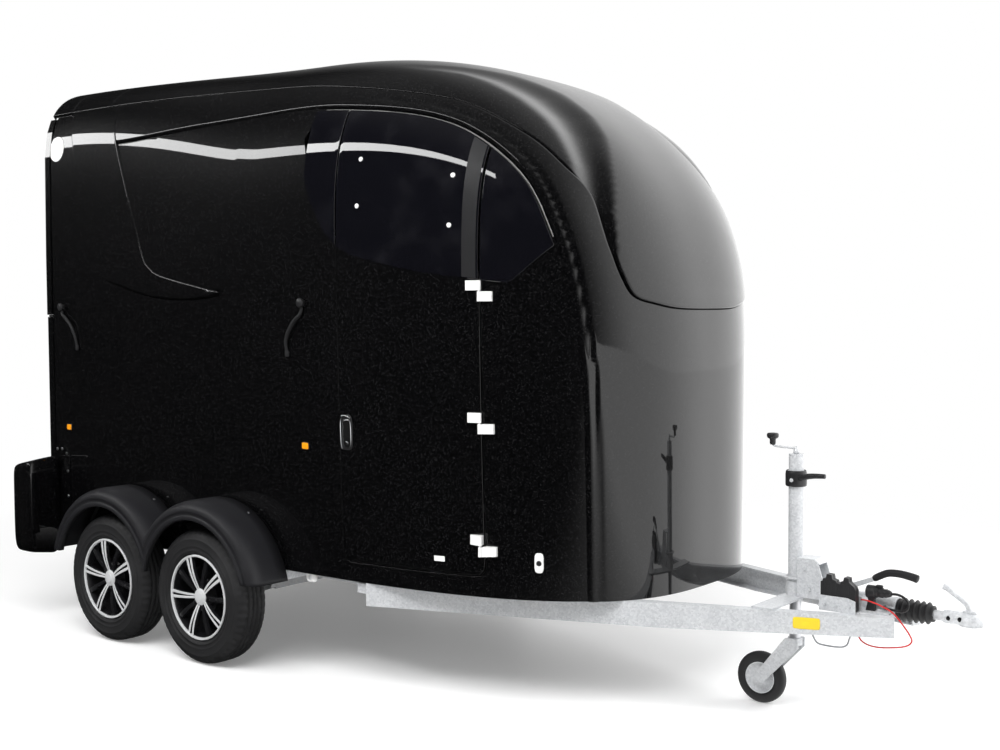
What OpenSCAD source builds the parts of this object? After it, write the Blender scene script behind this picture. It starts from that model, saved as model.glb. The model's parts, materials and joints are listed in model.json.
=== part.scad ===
// Two-horse trailer with a rounded moulded body, twin axles and a braked drawbar.
// X runs forward to the hitch, Y to the left, Z up, and Z = 0 is the ground.
// Sizes are in millimetres and are taken from the midpoint between the axles;
// seat() then moves everything so that the origin is under the middle of the overall box.

/* [Body form] */
// Ground to the bottom edge of the body
sill_z = 470; // [440:5:500]
// Ground to the highest line of the roof
roof_z = 2875; // [2700:5:3000]
// Ground to the roof line at the rear
tail_z = 2885; // [2700:5:3000]
// Half width of the body along its bottom edge
sill_half = 918; // [850:1:960]
// Half width of the body at its widest, over the door
belt_half = 955; // [900:5:1000]
// Midpoint between the axles back to the rear face of ramp and flap
tail_reach = 1120; // [1050:5:1200]
// Midpoint between the axles forward to the nose of the body
nose_x = 2460; // [2300:5:2600]
// Where the sides start to bend in towards the nose
bend_x = 620; // [400:10:900]
// Where the roof line starts to fall towards the nose
crest_x = 250; // [0:10:500]
// Squareness of the nose seen from above
plan_e = 2.95; // [2.4:0.05:3.6]
// Squareness of the falling roof line seen from the side
crest_e = 2.9; // [2.4:0.05:3.6]
// Squareness of the roof corners at the rear
tail_e = 6; // [4:0.5:8]
// Squareness of the roof corners towards the front
roof_e = 3.1; // [2.6:0.1:4]
// Height of the upright part of the nose
nose_z = 1200; // [1000:10:1500]

/* [Panels] */
// Thickness of the side walls and of the door
wall_t = 20; // [12:1:30]
// Thickness of the moulded roof, bands and nose
skin_t = 12; // [8:1:20]
// How far the side walls lie behind the moulded bands
recess = 10; // [6:1:14]
// Gap round fixed panels where they meet
seam_gap = 0.6; // [0.3:0.1:2]
// Gap round the door, ramp and rear flap
door_gap = 6; // [5:0.5:10]
// Thickness of the floor
floor_t = 18; // [12:1:30]
// Thickness of the ramp and of the rear flap
ramp_t = 46; // [30:1:60]
// Ground to the joint between ramp and rear flap
split_z = 1638; // [1400:5:1800]
// Ground to the top of the rear flap
flap_top_z = 2700; // [2500:5:2750]
// Depth of the two valleys beside the hood
valley_depth = 36; // [10:1:50]

/* [Side openings] */
// Rear edge of the groom's door
door_rear_x = 1147; // [1100:1:1200]
// Front edge of the groom's door
door_front_x = 1866; // [1750:1:1900]
// Ground to the bottom edge of the door
door_low_z = 556; // [520:1:620]
// Thickness of the window panes
pane_t = 4; // [3:0.5:6]
// Lap of a pane over the edge of its opening
pane_lap = 32; // [20:1:50]

/* [Wheels and axles] */
// Distance between the two axles
wheel_base = 714; // [690:1:760]
// Radius of the tyres
tyre_r = 317.5; // [300:0.5:330]
// Width of the tyres
tyre_w = 178; // [165:1:200]
// Radius of the rim at the tyre's bead
rim_r = 190.5; // [177.8:0.1:203.2]
// Bottom edge of the body out to the outer face of the rims
wheel_stand = 172; // [150:1:190]
// Radius of the wheel spindles
spindle_r = 20; // [16:1:25]
// Running clearance of the wheel bearings
bearing_fit = 0.05; // [0.02:0.01:0.1]
// Radius of the mudguards at their top
guard_r = 456; // [430:1:480]
// Radius of the mudguards' outer lip
guard_lip_r = 370; // [350:1:390]
// Bottom edge of the body out to the outer face of the mudguards
guard_stand = 214; // [195:1:230]
// Thickness of the mudguards
guard_t = 5; // [3:0.5:8]

/* [Chassis and drawbar] */
// Height of the frame rails
rail_h = 60; // [50:1:80]
// Width of the frame rails
rail_w = 50; // [40:1:70]
// Wall of the frame and drawbar rails
rail_wall = 5; // [3:0.5:8]
// Midpoint between the axles to the front end of the drawbar rails
bar_front_x = 3320; // [3100:5:3500]
// Half spacing of the drawbar rails at their front end
bar_front_y = 95; // [80:1:140]
// Angle between a drawbar rail and the centre plane
bar_angle = 20; // [16:0.5:24]
// Height of the drawbar rails at the front
bar_h = 74; // [60:1:100]
// Midpoint between the axles to the nose of the coupling head
hitch_reach = 3625; // [3500:5:3800]
// Ground to the coupling's centre line
hitch_z = 472; // [430:1:500]
// Radius of the tow ball's socket
ball_r = 25.2; // [25:0.1:25.5]

/* [Jockey wheel] */
// Midpoint between the axles to the jockey leg
leg_x = 2862; // [2700:1:3000]
// Radius of the outer tube
leg_r = 30; // [24:0.5:32]
// Radius of the inner tube
leg_core_r = 24; // [18:0.5:28]
// Radius of the jockey wheel
jockey_r = 108; // [90:1:120]
// Distance from the leg to the jockey wheel's axle
jockey_trail = 150; // [100:1:170]

/* [Hidden] */

cut = 1;
far = 4000;
tail_x = -tail_reach;
rim_face_y = sill_half + wheel_stand;
guard_y = sill_half + guard_stand;
pod_back_x = tail_reach + 62;
mid_shift = (hitch_reach - pod_back_x) / 2;

body_black = [0.03, 0.03, 0.035];
glass_black = [0.01, 0.01, 0.012, 0.8];
galvanised = [0.66, 0.68, 0.7];
dark_plastic = [0.12, 0.12, 0.13];
rubber_black = [0.05, 0.05, 0.05];
lamp_white = [0.9, 0.9, 0.88];

// Moves a part from the axle midpoint's frame to the model's own frame
module seat() translate([-mid_shift, 0, 0]) children();

// Draws its children on both sides of the centre plane
module both() {
    children();
    mirror([0, 1, 0]) children();
}

function clamp01(t) = min(1, max(0, t));
function smooth01(t) = let (c = clamp01(t)) c * c * (3 - 2 * c);
function rise(a, e) = pow(max(0, 1 - pow(clamp01(a), e)), 1 / e);

// The body form. inset moves the surface inwards, dip adds the valleys' depth where they run
valley_x = 1150;
valley_run = 700;
function dip_at(x, dip) = dip * smooth01((x - valley_x) / valley_run);
function crest(x, inset, dip) = let (d = inset + dip_at(x, dip))
    x > crest_x
    ? nose_z + (roof_z - d - nose_z) * rise((x - crest_x) / (nose_x - inset - dip - crest_x), crest_e)
    : roof_z - d + (tail_z - roof_z) * pow((crest_x - x) / (crest_x - tail_x), 2);
function plan_scale(x, inset) = rise((x - bend_x) / (nose_x - inset - bend_x), plan_e);
function corner_e(x) = tail_e + (roof_e - tail_e) * smooth01((x - tail_x) / (bend_x - tail_x));
belt_run = 1600;
function belt(x) = sill_half + (belt_half - sill_half) * clamp01((x - tail_x) / belt_run);
knee_share = 0.62;
function knee(top) = sill_z + knee_share * (top - sill_z);

// Half width of the body at a height below the knee
function wall_half(x, z, top) = belt(x)
    - (belt(x) - sill_half) * pow(clamp01((knee(top) - z) / (knee(top) - sill_z)), 1.5);

// Half width of the panels that lie at an inset, along the flats between the stations
function side_half(x, z, inset) = plan_scale(x, inset) * (wall_half(x, z, crest(x, inset, 0)) - inset);
function side_y(x, z, inset = 0) = let (
    xs = stations(inset, 0, tail_x),
    i = max([for (k = [0 : len(xs) - 2]) if (xs[k] <= x || k == 0) k]),
    t = (x - xs[i]) / (xs[i + 1] - xs[i]))
    side_half(xs[i], z, inset) * (1 - t) + side_half(xs[i + 1], z, inset) * t;

// Stands its children, drawn flat with their base at z = 0, on the right side at [x, z]
seat_gap = 0.3;
module on_side(x, z, span, inset) {
    turn = atan((side_y(x - span, z, inset) - side_y(x + span, z, inset)) / (2 * span));
    lean = atan((side_y(x, z + span, inset) - side_y(x, z - span, inset)) / (2 * span));
    translate([x, -side_y(x, z, inset) - seat_gap, z]) rotate([0, 0, turn]) rotate([90 + lean, 0, 0])
        children();
}

// Half section of the form at x as [y, z] points, from the bottom edge to the roof's crest
wall_steps = 3;
roof_steps = 8;
function half_section(x, inset, dip, low) =
    let (top = crest(x, inset, dip), k = knee(top), e = corner_e(x),
         d = inset + dip_at(x, dip), s = plan_scale(x, inset + dip))
    concat(
        [for (j = [0 : wall_steps - 1])
            let (z = low + (k - low) * j / wall_steps) [s * (wall_half(x, z, top) - d), z]],
        [for (j = [0 : roof_steps])
            let (a = 90 - 90 * j / roof_steps)
            [s * (belt(x) - d) * pow(sin(a), 2 / e), k + (top - k) * pow(cos(a), 2 / e)]]);
function full_section(x, inset, dip, low) =
    let (h = half_section(x, inset, dip, low), n = len(h))
    concat([for (p = h) [x, -p[0], p[1]]],
           [for (j = [n - 2 : -1 : 0]) [x, h[j][0], h[j][1]]]);

// Stations along the body: even steps to the crest, then round the nose
tail_steps = 4;
nose_steps = 12;
nose_turn = 88;
function stations(inset, dip, rear) = concat(
    [for (i = [0 : tail_steps - 1]) rear + (crest_x - rear) * i / tail_steps],
    [for (i = [0 : nose_steps])
        crest_x + (nose_x - inset - dip - crest_x) * pow(sin(nose_turn * i / nose_steps), 2 / crest_e)]);

module body_form(inset = 0, dip = 0, low = sill_z, rear = tail_x) {
    xs = stations(inset, dip, rear);
    rows = [for (x = xs) full_section(x, inset, dip, low)];
    n = len(rows[0]);
    m = len(rows);
    points = [for (r = rows) for (p = r) p];
    faces = concat(
        [[for (j = [n - 1 : -1 : 0]) j]],
        [[for (j = [0 : n - 1]) (m - 1) * n + j]],
        [for (i = [0 : m - 2]) for (j = [0 : n - 1])
            let (a = i * n + j, b = i * n + (j + 1) % n)
            each [[a, b, a + n], [b, b + n, a + n]]]);
    polyhedron(points, faces, convexity = 6);
}

// A slab of the form's own section at x, running t forwards
module section_slab(x, inset, t) translate([x, 0, 0]) rotate([90, 0, 90]) linear_extrude(t)
    polygon([for (p = full_section(x, inset, 0, sill_z)) [p[1], p[2]]]);

// A closed skin of the form between two insets
module skin(outer, inner, dip = 0, rear = tail_x)
    difference() {
        body_form(outer, dip, sill_z, rear);
        body_form(inner, dip, sill_z - 100, rear - 100);
    }

// Extrudes a side view, drawn as [x, z], through the right half of the body
module side_cut(depth = 1300) rotate([90, 0, 0]) linear_extrude(depth) children();
module through_cut() translate([0, far / 2, 0]) side_cut(far) children();

// Side view outlines as [x, z]
arch_x = 2245;
arch_z = 1250;
arch_top_x = 900;
arch_top_z = 2560;
arch_e = 2.9;
arch_steps = 14;
module arch_area(gap = 0) offset(delta = -gap)
    polygon(concat(
        [[tail_x + ramp_t + 6, sill_z - 200], [arch_x, sill_z - 200]],
        [for (i = [0 : arch_steps])
            let (a = 90 * i / arch_steps)
            [arch_top_x + (arch_x - arch_top_x) * pow(cos(a), 2 / arch_e),
             arch_z + (arch_top_z - arch_z) * pow(sin(a), 2 / arch_e)]],
        [[tail_x + 650, 2512], [tail_x + 195, seam_z - seam_gap / 2], [tail_x + ramp_t + 6, seam_z - seam_gap / 2]]));

seam_low_z = 1655;
seam_x = 2360;
seam_z = 2722;
seam_e = 2.5;
seam_steps = 14;
module roof_area(gap = 0) offset(delta = -gap)
    polygon(concat(
        [[tail_x - 200, seam_z], [tail_x - 200, far], [far, far], [far, seam_low_z]],
        [for (i = [0 : seam_steps])
            let (a = 90 * i / seam_steps)
            [seam_x * pow(cos(a), 2 / seam_e), seam_low_z + (seam_z - seam_low_z) * pow(sin(a), 2 / seam_e)]]));

// The raised sweep behind the rear side panel
sweep_shape = [[195, 2730], [290, 2440], [383, 2217], [484, 1937], [540, 1850], [614, 1805],
    [955, 1730], [1276, 1712], [1580, 1741], [1357, 1777], [1040, 1840], [940, 1885], [879, 1960],
    [759, 2271], [650, 2560], [600, 2730]];
sweep_points = [for (p = sweep_shape) [tail_x + p[0], p[1]]];
module sweep_area(gap = 0) offset(delta = -gap) polygon(sweep_points);

// Lower outline of the window strip; its top follows the arch
glass_points = [[905, 2700], [884, 2421], [930, 2290], [1000, 2125], [1075, 2005], [1150, 1935],
    [1230, 1897], [1320, 1872], [1547, 1823], [1735, 1795], [1986, 1767], [2150, 1917], [2300, 2000],
    [2300, 2700]];
glass_margin = 12;
module glass_area(inwards = 0) offset(delta = -inwards) intersection() {
    polygon(glass_points);
    arch_area(glass_margin);
}

module x_band(x0, x1) translate([x0, 0]) square([x1 - x0, far]);

door_r = 40;
module door_area(gap = 0) intersection() {
    arch_area(gap + 2);
    translate([door_rear_x + gap, door_low_z + gap]) offset(r = door_r, $fn = 24)
        offset(delta = -door_r) square([door_front_x - door_rear_x - 2 * gap, 2400]);
}

pane_rear = [0, door_rear_x - 3];
pane_door = [door_rear_x + door_gap, door_front_x - door_gap];
pane_front = [door_front_x + 3, 2400];
module pane_area(span, inwards = 0) offset(delta = -inwards) intersection() {
    glass_area();
    x_band(span[0], span[1]);
}
pane_stand = 1;
module pane(span) intersection() {
    skin(recess - pane_t - pane_stand, recess - seam_gap);
    side_cut() pane_area(span);
}
module pane_hole(span) side_cut() pane_area(span, pane_lap);

wall_back_x = tail_x + ramp_t + 6;
module wall_blank() intersection() {
    skin(recess, recess + wall_t);
    side_cut() difference() {
        arch_area(seam_gap / 2);
        sweep_area(-seam_gap / 2);
    }
}

// Body panels
module wall_right() color(body_black) seat() difference() {
    wall_blank();
    side_cut() door_area(-door_gap / 2);
    pane_hole([pane_rear[0], pane_rear[1] - 25]);
    pane_hole([pane_front[0] + 25, pane_front[1]]);
}

module wall_left() color(body_black) seat() mirror([0, 1, 0]) difference() {
    wall_blank();
    pane_hole([0, 2400]);
}

module sweep_panel() intersection() {
    skin(0, recess + wall_t);
    side_cut() difference() {
        sweep_area(seam_gap / 2);
        roof_area(-seam_gap / 2);
    }
}
module swoosh_right() color(body_black) seat() sweep_panel();
module swoosh_left() color(body_black) seat() mirror([0, 1, 0]) sweep_panel();

module nose_shell() color(body_black) seat() intersection() {
    skin(0, skin_t);
    through_cut() difference() {
        translate([tail_x + 600, 0]) square([far, far]);
        arch_area(-seam_gap / 2);
        roof_area(-seam_gap / 2);
        sweep_area(-seam_gap / 2);
    }
}

cap_x = tail_x + 530;
module roof_shell() color(body_black) seat() intersection() {
    skin(0, skin_t);
    through_cut() difference() {
        roof_area();
        x_band(-far, cap_x + seam_gap / 2);
    }
}

module rear_cap() color(body_black) seat() {
    intersection() {
        skin(0, skin_t);
        through_cut() intersection() {
            roof_area();
            translate([tail_x, 0]) square([cap_x - seam_gap / 2 - tail_x, far]);
        }
    }
    intersection() {
        section_slab(tail_x, skin_t / 2, ramp_t + 6 + wall_t);
        translate([tail_x - cut, -far / 2, seam_z]) cube([200, far, far]);
    }
    for (y = flap_hinge_y) translate([flap_pin_x, y, flap_pin_z]) rotate([-90, 0, 0]) {
        translate([0, 0, -66]) cylinder(r = flap_pin_r, h = 132, $fn = 24);
        for (z = [-66, 30]) translate([0, 0, z]) {
            cylinder(r = flap_barrel_r, h = 36, $fn = 32);
            translate([-5, flap_pin_z - seam_z - 2, 0]) cube([11, seam_z - flap_pin_z + 2, 36]);
        }
    }
}

post_w = 110;
portal_t = 70;
module portal() color(body_black) seat() difference() {
    intersection() {
        section_slab(wall_back_x, recess + wall_t + 4, portal_t);
        translate([wall_back_x - cut, -far / 2, sill_z + floor_t])
            cube([portal_t + 2 * cut, far, seam_z - sill_z - floor_t - 2]);
    }
    translate([wall_back_x - cut, post_w - sill_half, 0])
        cube([portal_t + 2 * cut, 2 * (sill_half - post_w), flap_top_z - 150]);
}

// Plan outline of the form's bottom edge at an inset, as [x, y]
function edge_side(inset, rear) = [for (x = stations(inset, 0, rear)) [x, plan_scale(x, inset) * (sill_half - inset)]];
module floor_plan(inset, rear) {
    side = edge_side(inset, rear);
    polygon(concat([for (p = side) [p[0], -p[1]]], [for (i = [len(side) - 1 : -1 : 0]) side[i]]));
}

module floor() color("dimgray") seat()
    translate([0, 0, sill_z]) linear_extrude(floor_t)
        floor_plan(recess + wall_t + seam_gap, wall_back_x);

module window_rear_right() color(glass_black) seat() pane(pane_rear);
module window_front_right() color(glass_black) seat() pane(pane_front);
module window_left() color(glass_black) seat() mirror([0, 1, 0]) pane([0, 2400]);

// Inside fittings
post_x = 900;
post_r = 30;
partition_low = 900;
partition_high = 1900;
module centre_post() color(galvanised) seat()
    translate([post_x, 0, sill_z + floor_t])
        cylinder(r = post_r, h = crest(post_x, skin_t, 0) - sill_z - floor_t - 8, $fn = 48);

module partition() color("dimgray") seat()
    translate([0, 20, 0]) rotate([90, 0, 0]) linear_extrude(40)
        offset(r = 60, $fn = 48) offset(delta = -60)
            polygon([[tail_x + 170, partition_low], [post_x - post_r, partition_low],
                [post_x - post_r, partition_high + 300], [700, partition_high + 300],
                [300, partition_high], [tail_x + 170, partition_high]]);

bar_z = 1150;
bar_r = 24;
module breast_bars() color(galvanised) seat() both()
    translate([post_x, post_r, bar_z]) rotate([-90, 0, 0])
        cylinder(r = bar_r, h = side_y(post_x + bar_r, bar_z - bar_r, recess + wall_t) - post_r - seat_gap, $fn = 48);

// Door in the right side; it turns on an upright pin at its front edge
leaf_h = 40;
leaf_z = [690, 1195, 1735];
pin_x = door_front_x;
pin_r = 4;
barrel_r = 8;
pin_y = -side_y(pin_x, leaf_z[2] + leaf_h, recess) - barrel_r - 1.5;
module door_panel() color(body_black) seat() difference() {
    intersection() {
        skin(recess, recess + wall_t);
        side_cut() door_area(door_gap / 2);
    }
    pane_hole([pane_door[0] + 22, pane_door[1] - 22]);
}

module door_window() color(glass_black) seat() pane(pane_door);

module door_handle() color("silver") seat() on_side(door_rear_x + 39, 1127, 40, recess)
    linear_extrude(16) offset(r = 18, $fn = 32) square([44, 118], center = true);

leaf_t = 10;
function leaf_y(x, z) = -side_y(x, z + leaf_h, recess) - seat_gap;
module hinge_leaves() color(lamp_white) seat() for (z = leaf_z) translate([0, 0, z - leaf_h - 5]) difference() {
    union() {
        linear_extrude(leaf_h) polygon([
            [pin_x + 6, leaf_y(pin_x + 6, z - leaf_h - 5)], [pin_x + 52, leaf_y(pin_x + 52, z - leaf_h - 5)],
            [pin_x + 52, leaf_y(pin_x + 52, z) - leaf_t], [pin_x + 4, pin_y - 4], [pin_x, pin_y]]);
        translate([pin_x, pin_y, 0]) cylinder(r = barrel_r, h = leaf_h, $fn = 32);
    }
    translate([pin_x, pin_y, -cut]) cylinder(r = pin_r + bearing_fit, h = leaf_h + 2 * cut, $fn = 32);
}

module door_hinges() color(lamp_white) seat() for (z = leaf_z) {
    translate([0, 0, z]) linear_extrude(leaf_h) polygon([
        [pin_x - 56, leaf_y(pin_x - 56, z)], [pin_x - 6, leaf_y(pin_x - 6, z)],
        [pin_x, pin_y], [pin_x - 4, pin_y - 4], [pin_x - 56, leaf_y(pin_x - 56, z) - leaf_t]]);
    translate([pin_x, pin_y, z]) cylinder(r = barrel_r, h = leaf_h, $fn = 32);
    translate([pin_x, pin_y, z - leaf_h - 5]) cylinder(r = pin_r, h = leaf_h + 10, $fn = 32);
}

// Ramp and flap
ramp_half = sill_half - 8;
ramp_pin_z = 482;
ramp_pin_x = tail_x + ramp_t / 2;
ramp_low = 502;
knuckle_r = 13;
knuckle_w = 120;
knuckle_y = [-600, 0, 600];
lug_w = 60;
ramp_pin_r = 6;
ramp_pin_half = 665;
module ramp_panel() color(body_black) seat() {
    translate([tail_x, -ramp_half, ramp_low])
        cube([ramp_t, 2 * ramp_half, split_z - door_gap - ramp_low]);
    for (y = knuckle_y)
        translate([ramp_pin_x, y - knuckle_w / 2, ramp_pin_z]) rotate([-90, 0, 0]) difference() {
            union() {
                cylinder(r = knuckle_r, h = knuckle_w, $fn = 32);
                translate([-8, ramp_pin_z - ramp_low - 2, 0]) cube([16, ramp_low - ramp_pin_z + 2, knuckle_w]);
            }
            translate([0, 0, -cut])
                cylinder(r = ramp_pin_r + bearing_fit, h = knuckle_w + 2 * cut, $fn = 32);
        }
}

flap_pin_x = tail_x + 6;
flap_pin_z = flap_top_z + 10;
flap_pin_r = 4;
flap_barrel_r = 6;
flap_hinge_y = [-520, 0, 520];
module rear_flap() color(body_black) seat() {
    intersection() {
        section_slab(tail_x, 4, ramp_t);
        translate([tail_x - cut, -far / 2, split_z + door_gap]) cube([200, far, flap_top_z - split_z - door_gap]);
    }
    for (y = flap_hinge_y) translate([flap_pin_x, y - 25, flap_pin_z]) rotate([-90, 0, 0]) difference() {
        union() {
            cylinder(r = flap_barrel_r, h = 50, $fn = 32);
            translate([-5, 0, 0]) cube([11, flap_pin_z - flap_top_z + 2, 50]);
        }
        translate([0, 0, -cut]) cylinder(r = flap_pin_r + bearing_fit, h = 50 + 2 * cut, $fn = 24);
    }
}

// Chassis
rail_top = sill_z;
rail_y = sill_half - 243;
rail_back = wall_back_x;
rail_front = 1500;
module channel(length) difference() {
    cube([length, rail_w, rail_h]);
    translate([-cut, -cut, rail_wall]) cube([length + 2 * cut, rail_w - rail_wall + cut, rail_h - 2 * rail_wall]);
}
cross_x = [wall_back_x, -620, 60, 700, 1202];
module chassis() color(galvanised) seat() union() {
    both() translate([rail_back, rail_y, rail_top - rail_h]) channel(rail_front - rail_back);
    for (x = cross_x)
        translate([x, -sill_half + 40, rail_top - rail_h + 8]) cube([rail_w, 2 * (sill_half - 40), rail_h - 16]);
    translate([rail_front - rail_w, -rail_y - rail_w, rail_top - rail_h + 8])
        cube([rail_w, 2 * (rail_y + rail_w), rail_h - 16]);
    translate([ramp_pin_x, -ramp_pin_half, ramp_pin_z]) rotate([-90, 0, 0])
        cylinder(r = ramp_pin_r, h = 2 * ramp_pin_half, $fn = 32);
    for (y = [-300, 300]) translate([ramp_pin_x, y - lug_w / 2, ramp_pin_z]) rotate([-90, 0, 0]) {
        cylinder(r = knuckle_r, h = lug_w, $fn = 32);
        linear_extrude(lug_w) polygon([[-9, 9], [wall_back_x - ramp_pin_x + 10, 70],
            [wall_back_x - ramp_pin_x + 10, 28], [9, -9]]);
    }
}

bar_len = 2200;
bar_deep = 100;
module bar_side() polygon([[0, 0], [0, -bar_h], [-900, -bar_deep], [-bar_len, -bar_deep], [-bar_len, 0]]);
module drawbar_rail() translate([bar_front_x, bar_front_y, rail_top - seat_gap])
    rotate([0, 0, -bar_angle]) rotate([90, 0, 0]) difference() {
        translate([0, 0, -rail_w]) linear_extrude(rail_w) bar_side();
        translate([0, 0, -rail_w + rail_wall]) linear_extrude(rail_w)
            offset(delta = -rail_wall) bar_side();
    }
module drawbar() color(galvanised) seat() union() {
    both() drawbar_rail();
}

tube_h = 80;
tube_ahead = 150;
module axle(x) color(galvanised) seat() {
    both() translate([x, 0, tyre_r]) {
        rotate([-90, 0, 0]) {
            translate([0, 0, 790]) cylinder(r = spindle_r, h = rim_face_y - 60 - 790, $fn = 48);
            translate([0, 0, 900]) cylinder(r = 118, h = 5, $fn = 64);
        }
        rotate([-90, 0, 0]) translate([0, 0, 770]) linear_extrude(30) polygon([[-34, 26], [-34, -22],
            [tube_ahead - 30, -88], [tube_ahead + 34, -88], [tube_ahead + 40, -20], [30, 34]]);
    }
    translate([x + tube_ahead - tube_h / 2, -770, rail_top - rail_h - tube_h - 0.3])
        cube([tube_h, 1540, tube_h]);
}
module axle_front() axle(wheel_base / 2);
module axle_rear() axle(-wheel_base / 2);

// Wheels, drawn with the outer face up at z = 0
lip_r = 207.6;
module tyre() color(rubber_black) rotate_extrude($fn = 96) polygon([
    [rim_r + 1, -17], [lip_r - 4, -16], [lip_r + 1, -14], [rim_r + 34, -1], [tyre_r - 48, 0],
    [tyre_r - 22, -5], [tyre_r - 5, -18], [tyre_r, -34], [tyre_r, 34 - tyre_w], [tyre_r - 5, 18 - tyre_w],
    [tyre_r - 22, 5 - tyre_w], [tyre_r - 48, -tyre_w], [rim_r + 34, 1 - tyre_w],
    [lip_r + 1, 14 - tyre_w], [lip_r - 4, 16 - tyre_w], [rim_r + 1, 17 - tyre_w]]);

spoke_count = 5;
hub_r = 34;
module rim() color("silver") difference() {
    union() {
        rotate_extrude($fn = 96) polygon([
            [rim_r - 8, 0], [lip_r, 0], [lip_r, -5], [rim_r + 0.6, -8], [rim_r + 0.6, 23 - tyre_w],
            [lip_r, 20 - tyre_w], [lip_r, 15 - tyre_w], [rim_r - 8, 15 - tyre_w]]);
        translate([0, 0, -60]) cylinder(r = hub_r, h = 53, $fn = 64);
        translate([0, 0, -120]) cylinder(r = 115, h = 62, $fn = 64);
        for (i = [0 : spoke_count - 1]) rotate([0, 0, 90 + i * 360 / spoke_count]) {
            translate([0, 0, -34]) linear_extrude(24) {
                polygon([[20, 4], [20, 17], [rim_r - 4, 24], [rim_r - 4, 5]]);
                polygon([[20, -4], [20, -17], [rim_r - 4, -24], [rim_r - 4, -5]]);
            }
            rotate([0, 0, 180 / spoke_count]) translate([0, 0, -44]) linear_extrude(20) {
                polygon([[20, 3], [20, 14], [rim_r - 4, 20], [rim_r - 4, 5]]);
                polygon([[20, -3], [20, -14], [rim_r - 4, -20], [rim_r - 4, -5]]);
            }
        }
    }
    translate([0, 0, -130]) cylinder(r = spindle_r + bearing_fit, h = 100, $fn = 48);
}

module right_wheel(x) seat() translate([x, -rim_face_y, tyre_r]) rotate([90, 0, 0]) children();
module left_wheel(x) mirror([0, 1, 0]) right_wheel(x) children();
tyre_proud = 8;
module tyre_front_right() right_wheel(wheel_base / 2) translate([0, 0, tyre_proud]) tyre();
module rim_front_right() right_wheel(wheel_base / 2) rim();
module tyre_front_left() left_wheel(wheel_base / 2) translate([0, 0, tyre_proud]) tyre();
module rim_front_left() left_wheel(wheel_base / 2) rim();
module tyre_rear_right() right_wheel(-wheel_base / 2) translate([0, 0, tyre_proud]) tyre();
module rim_rear_right() right_wheel(-wheel_base / 2) rim();
module tyre_rear_left() left_wheel(-wheel_base / 2) translate([0, 0, tyre_proud]) tyre();
module rim_rear_left() left_wheel(-wheel_base / 2) rim();

// Twin mudguard: two rounded arches that meet in a valley, with a web between their lips
guard_inner_y = side_y(wheel_base / 2, tyre_r + guard_r, recess) + seat_gap;
guard_low_z = 425;
guard_round = 82;
guard_steps = 6;
function guard_line(d) = concat(
    [[guard_lip_r, guard_y - guard_inner_y - d]],
    [for (i = [0 : guard_steps]) let (a = 90 * i / guard_steps)
        [guard_r - d - (guard_r - guard_lip_r) + (guard_r - guard_lip_r) * sin(a),
         guard_y - guard_inner_y - d - guard_round + guard_round * cos(a)]],
    [[guard_r - d, 0]]);
module guard_profile() polygon(concat(guard_line(0),
    [for (i = [guard_steps + 2 : -1 : 0]) guard_line(guard_t)[i]]));
web_low_z = 500;
web_half = 190;
module mudguard() color(dark_plastic) translate([0, -guard_inner_y, 0]) {
    for (s = [-1, 1]) intersection() {
        translate([s * wheel_base / 2, 0, tyre_r]) rotate([90, 0, 0]) rotate_extrude($fn = 128) guard_profile();
        translate([s > 0 ? 0 : -far, -far / 2, guard_low_z]) cube([far, far, far]);
    }
    translate([0, guard_inner_y - guard_y + guard_t, 0]) rotate([90, 0, 0]) linear_extrude(guard_t) difference() {
        translate([-web_half, web_low_z]) square([2 * web_half, 130]);
        for (s = [-1, 1]) translate([s * wheel_base / 2, tyre_r]) circle(r = guard_lip_r, $fn = 128);
    }
}
module mudguard_right() seat() mudguard();
module mudguard_left() seat() mirror([0, 1, 0]) mudguard();

// Housings of the tail lamps, outboard of the ramp
pod_low = 345;
pod_high = 890;
pod_rear_x = 8 - pod_back_x;
pod_in_y = side_y(-940, 900, recess) + seat_gap;
pod_side_y = pod_in_y + 5.5;
pod_out_y = sill_half + 197;
lamp_y = pod_out_y - 105;
module pod() {
    hull() for (z = [pod_low + 40, pod_high - 40]) translate([0, 0, z]) {
        translate([tail_x + 110, -pod_side_y - 14, 0]) cylinder(r = 14, h = cut, $fn = 24);
        translate([pod_rear_x + 40, -pod_out_y + 40, 0]) sphere(r = 40, $fn = 24);
        translate([pod_rear_x + 24, -pod_side_y - 24, 0]) sphere(r = 24, $fn = 24);
    }
    translate([tail_x + 54, -pod_in_y - 6, sill_z + 10]) cube([130, 6, 455]);
}
module pod_right() color(body_black) seat() pod();
module pod_left() color(body_black) seat() mirror([0, 1, 0]) pod();

module tail_lamps() color("firebrick") seat() both()
    for (z = [520, 640, 760]) translate([-pod_back_x, -lamp_y, z]) rotate([0, 90, 0])
        cylinder(r = 42, h = pod_back_x + pod_rear_x, $fn = 48);

module side_reflectors() color("orange") seat() both()
    for (p = [[tail_x + 190, 1040], [935, 1053]])
        on_side(p[0], p[1], 20, recess) translate([-22, -16, 0]) cube([44, 32, 7]);

module position_lamps() color(lamp_white) seat() both() {
    on_side(2080, 627, 20, recess) linear_extrude(12) offset(r = 18, $fn = 32) square([2, 46], center = true);
    translate([905, 56 - sill_half, sill_z - 22.3]) rotate([90, 0, 0]) linear_extrude(20)
        offset(r = 20, $fn = 32) square([26, 4], center = true);
}

module tie_points() color(rubber_black) seat() both()
    for (p = [[tail_x + 150, 1685], [940, 1691]]) on_side(p[0], p[1], 20, recess)
        translate([0, 0, -0.3]) cylinder(r = 20, h = 26, $fn = 32);

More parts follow.
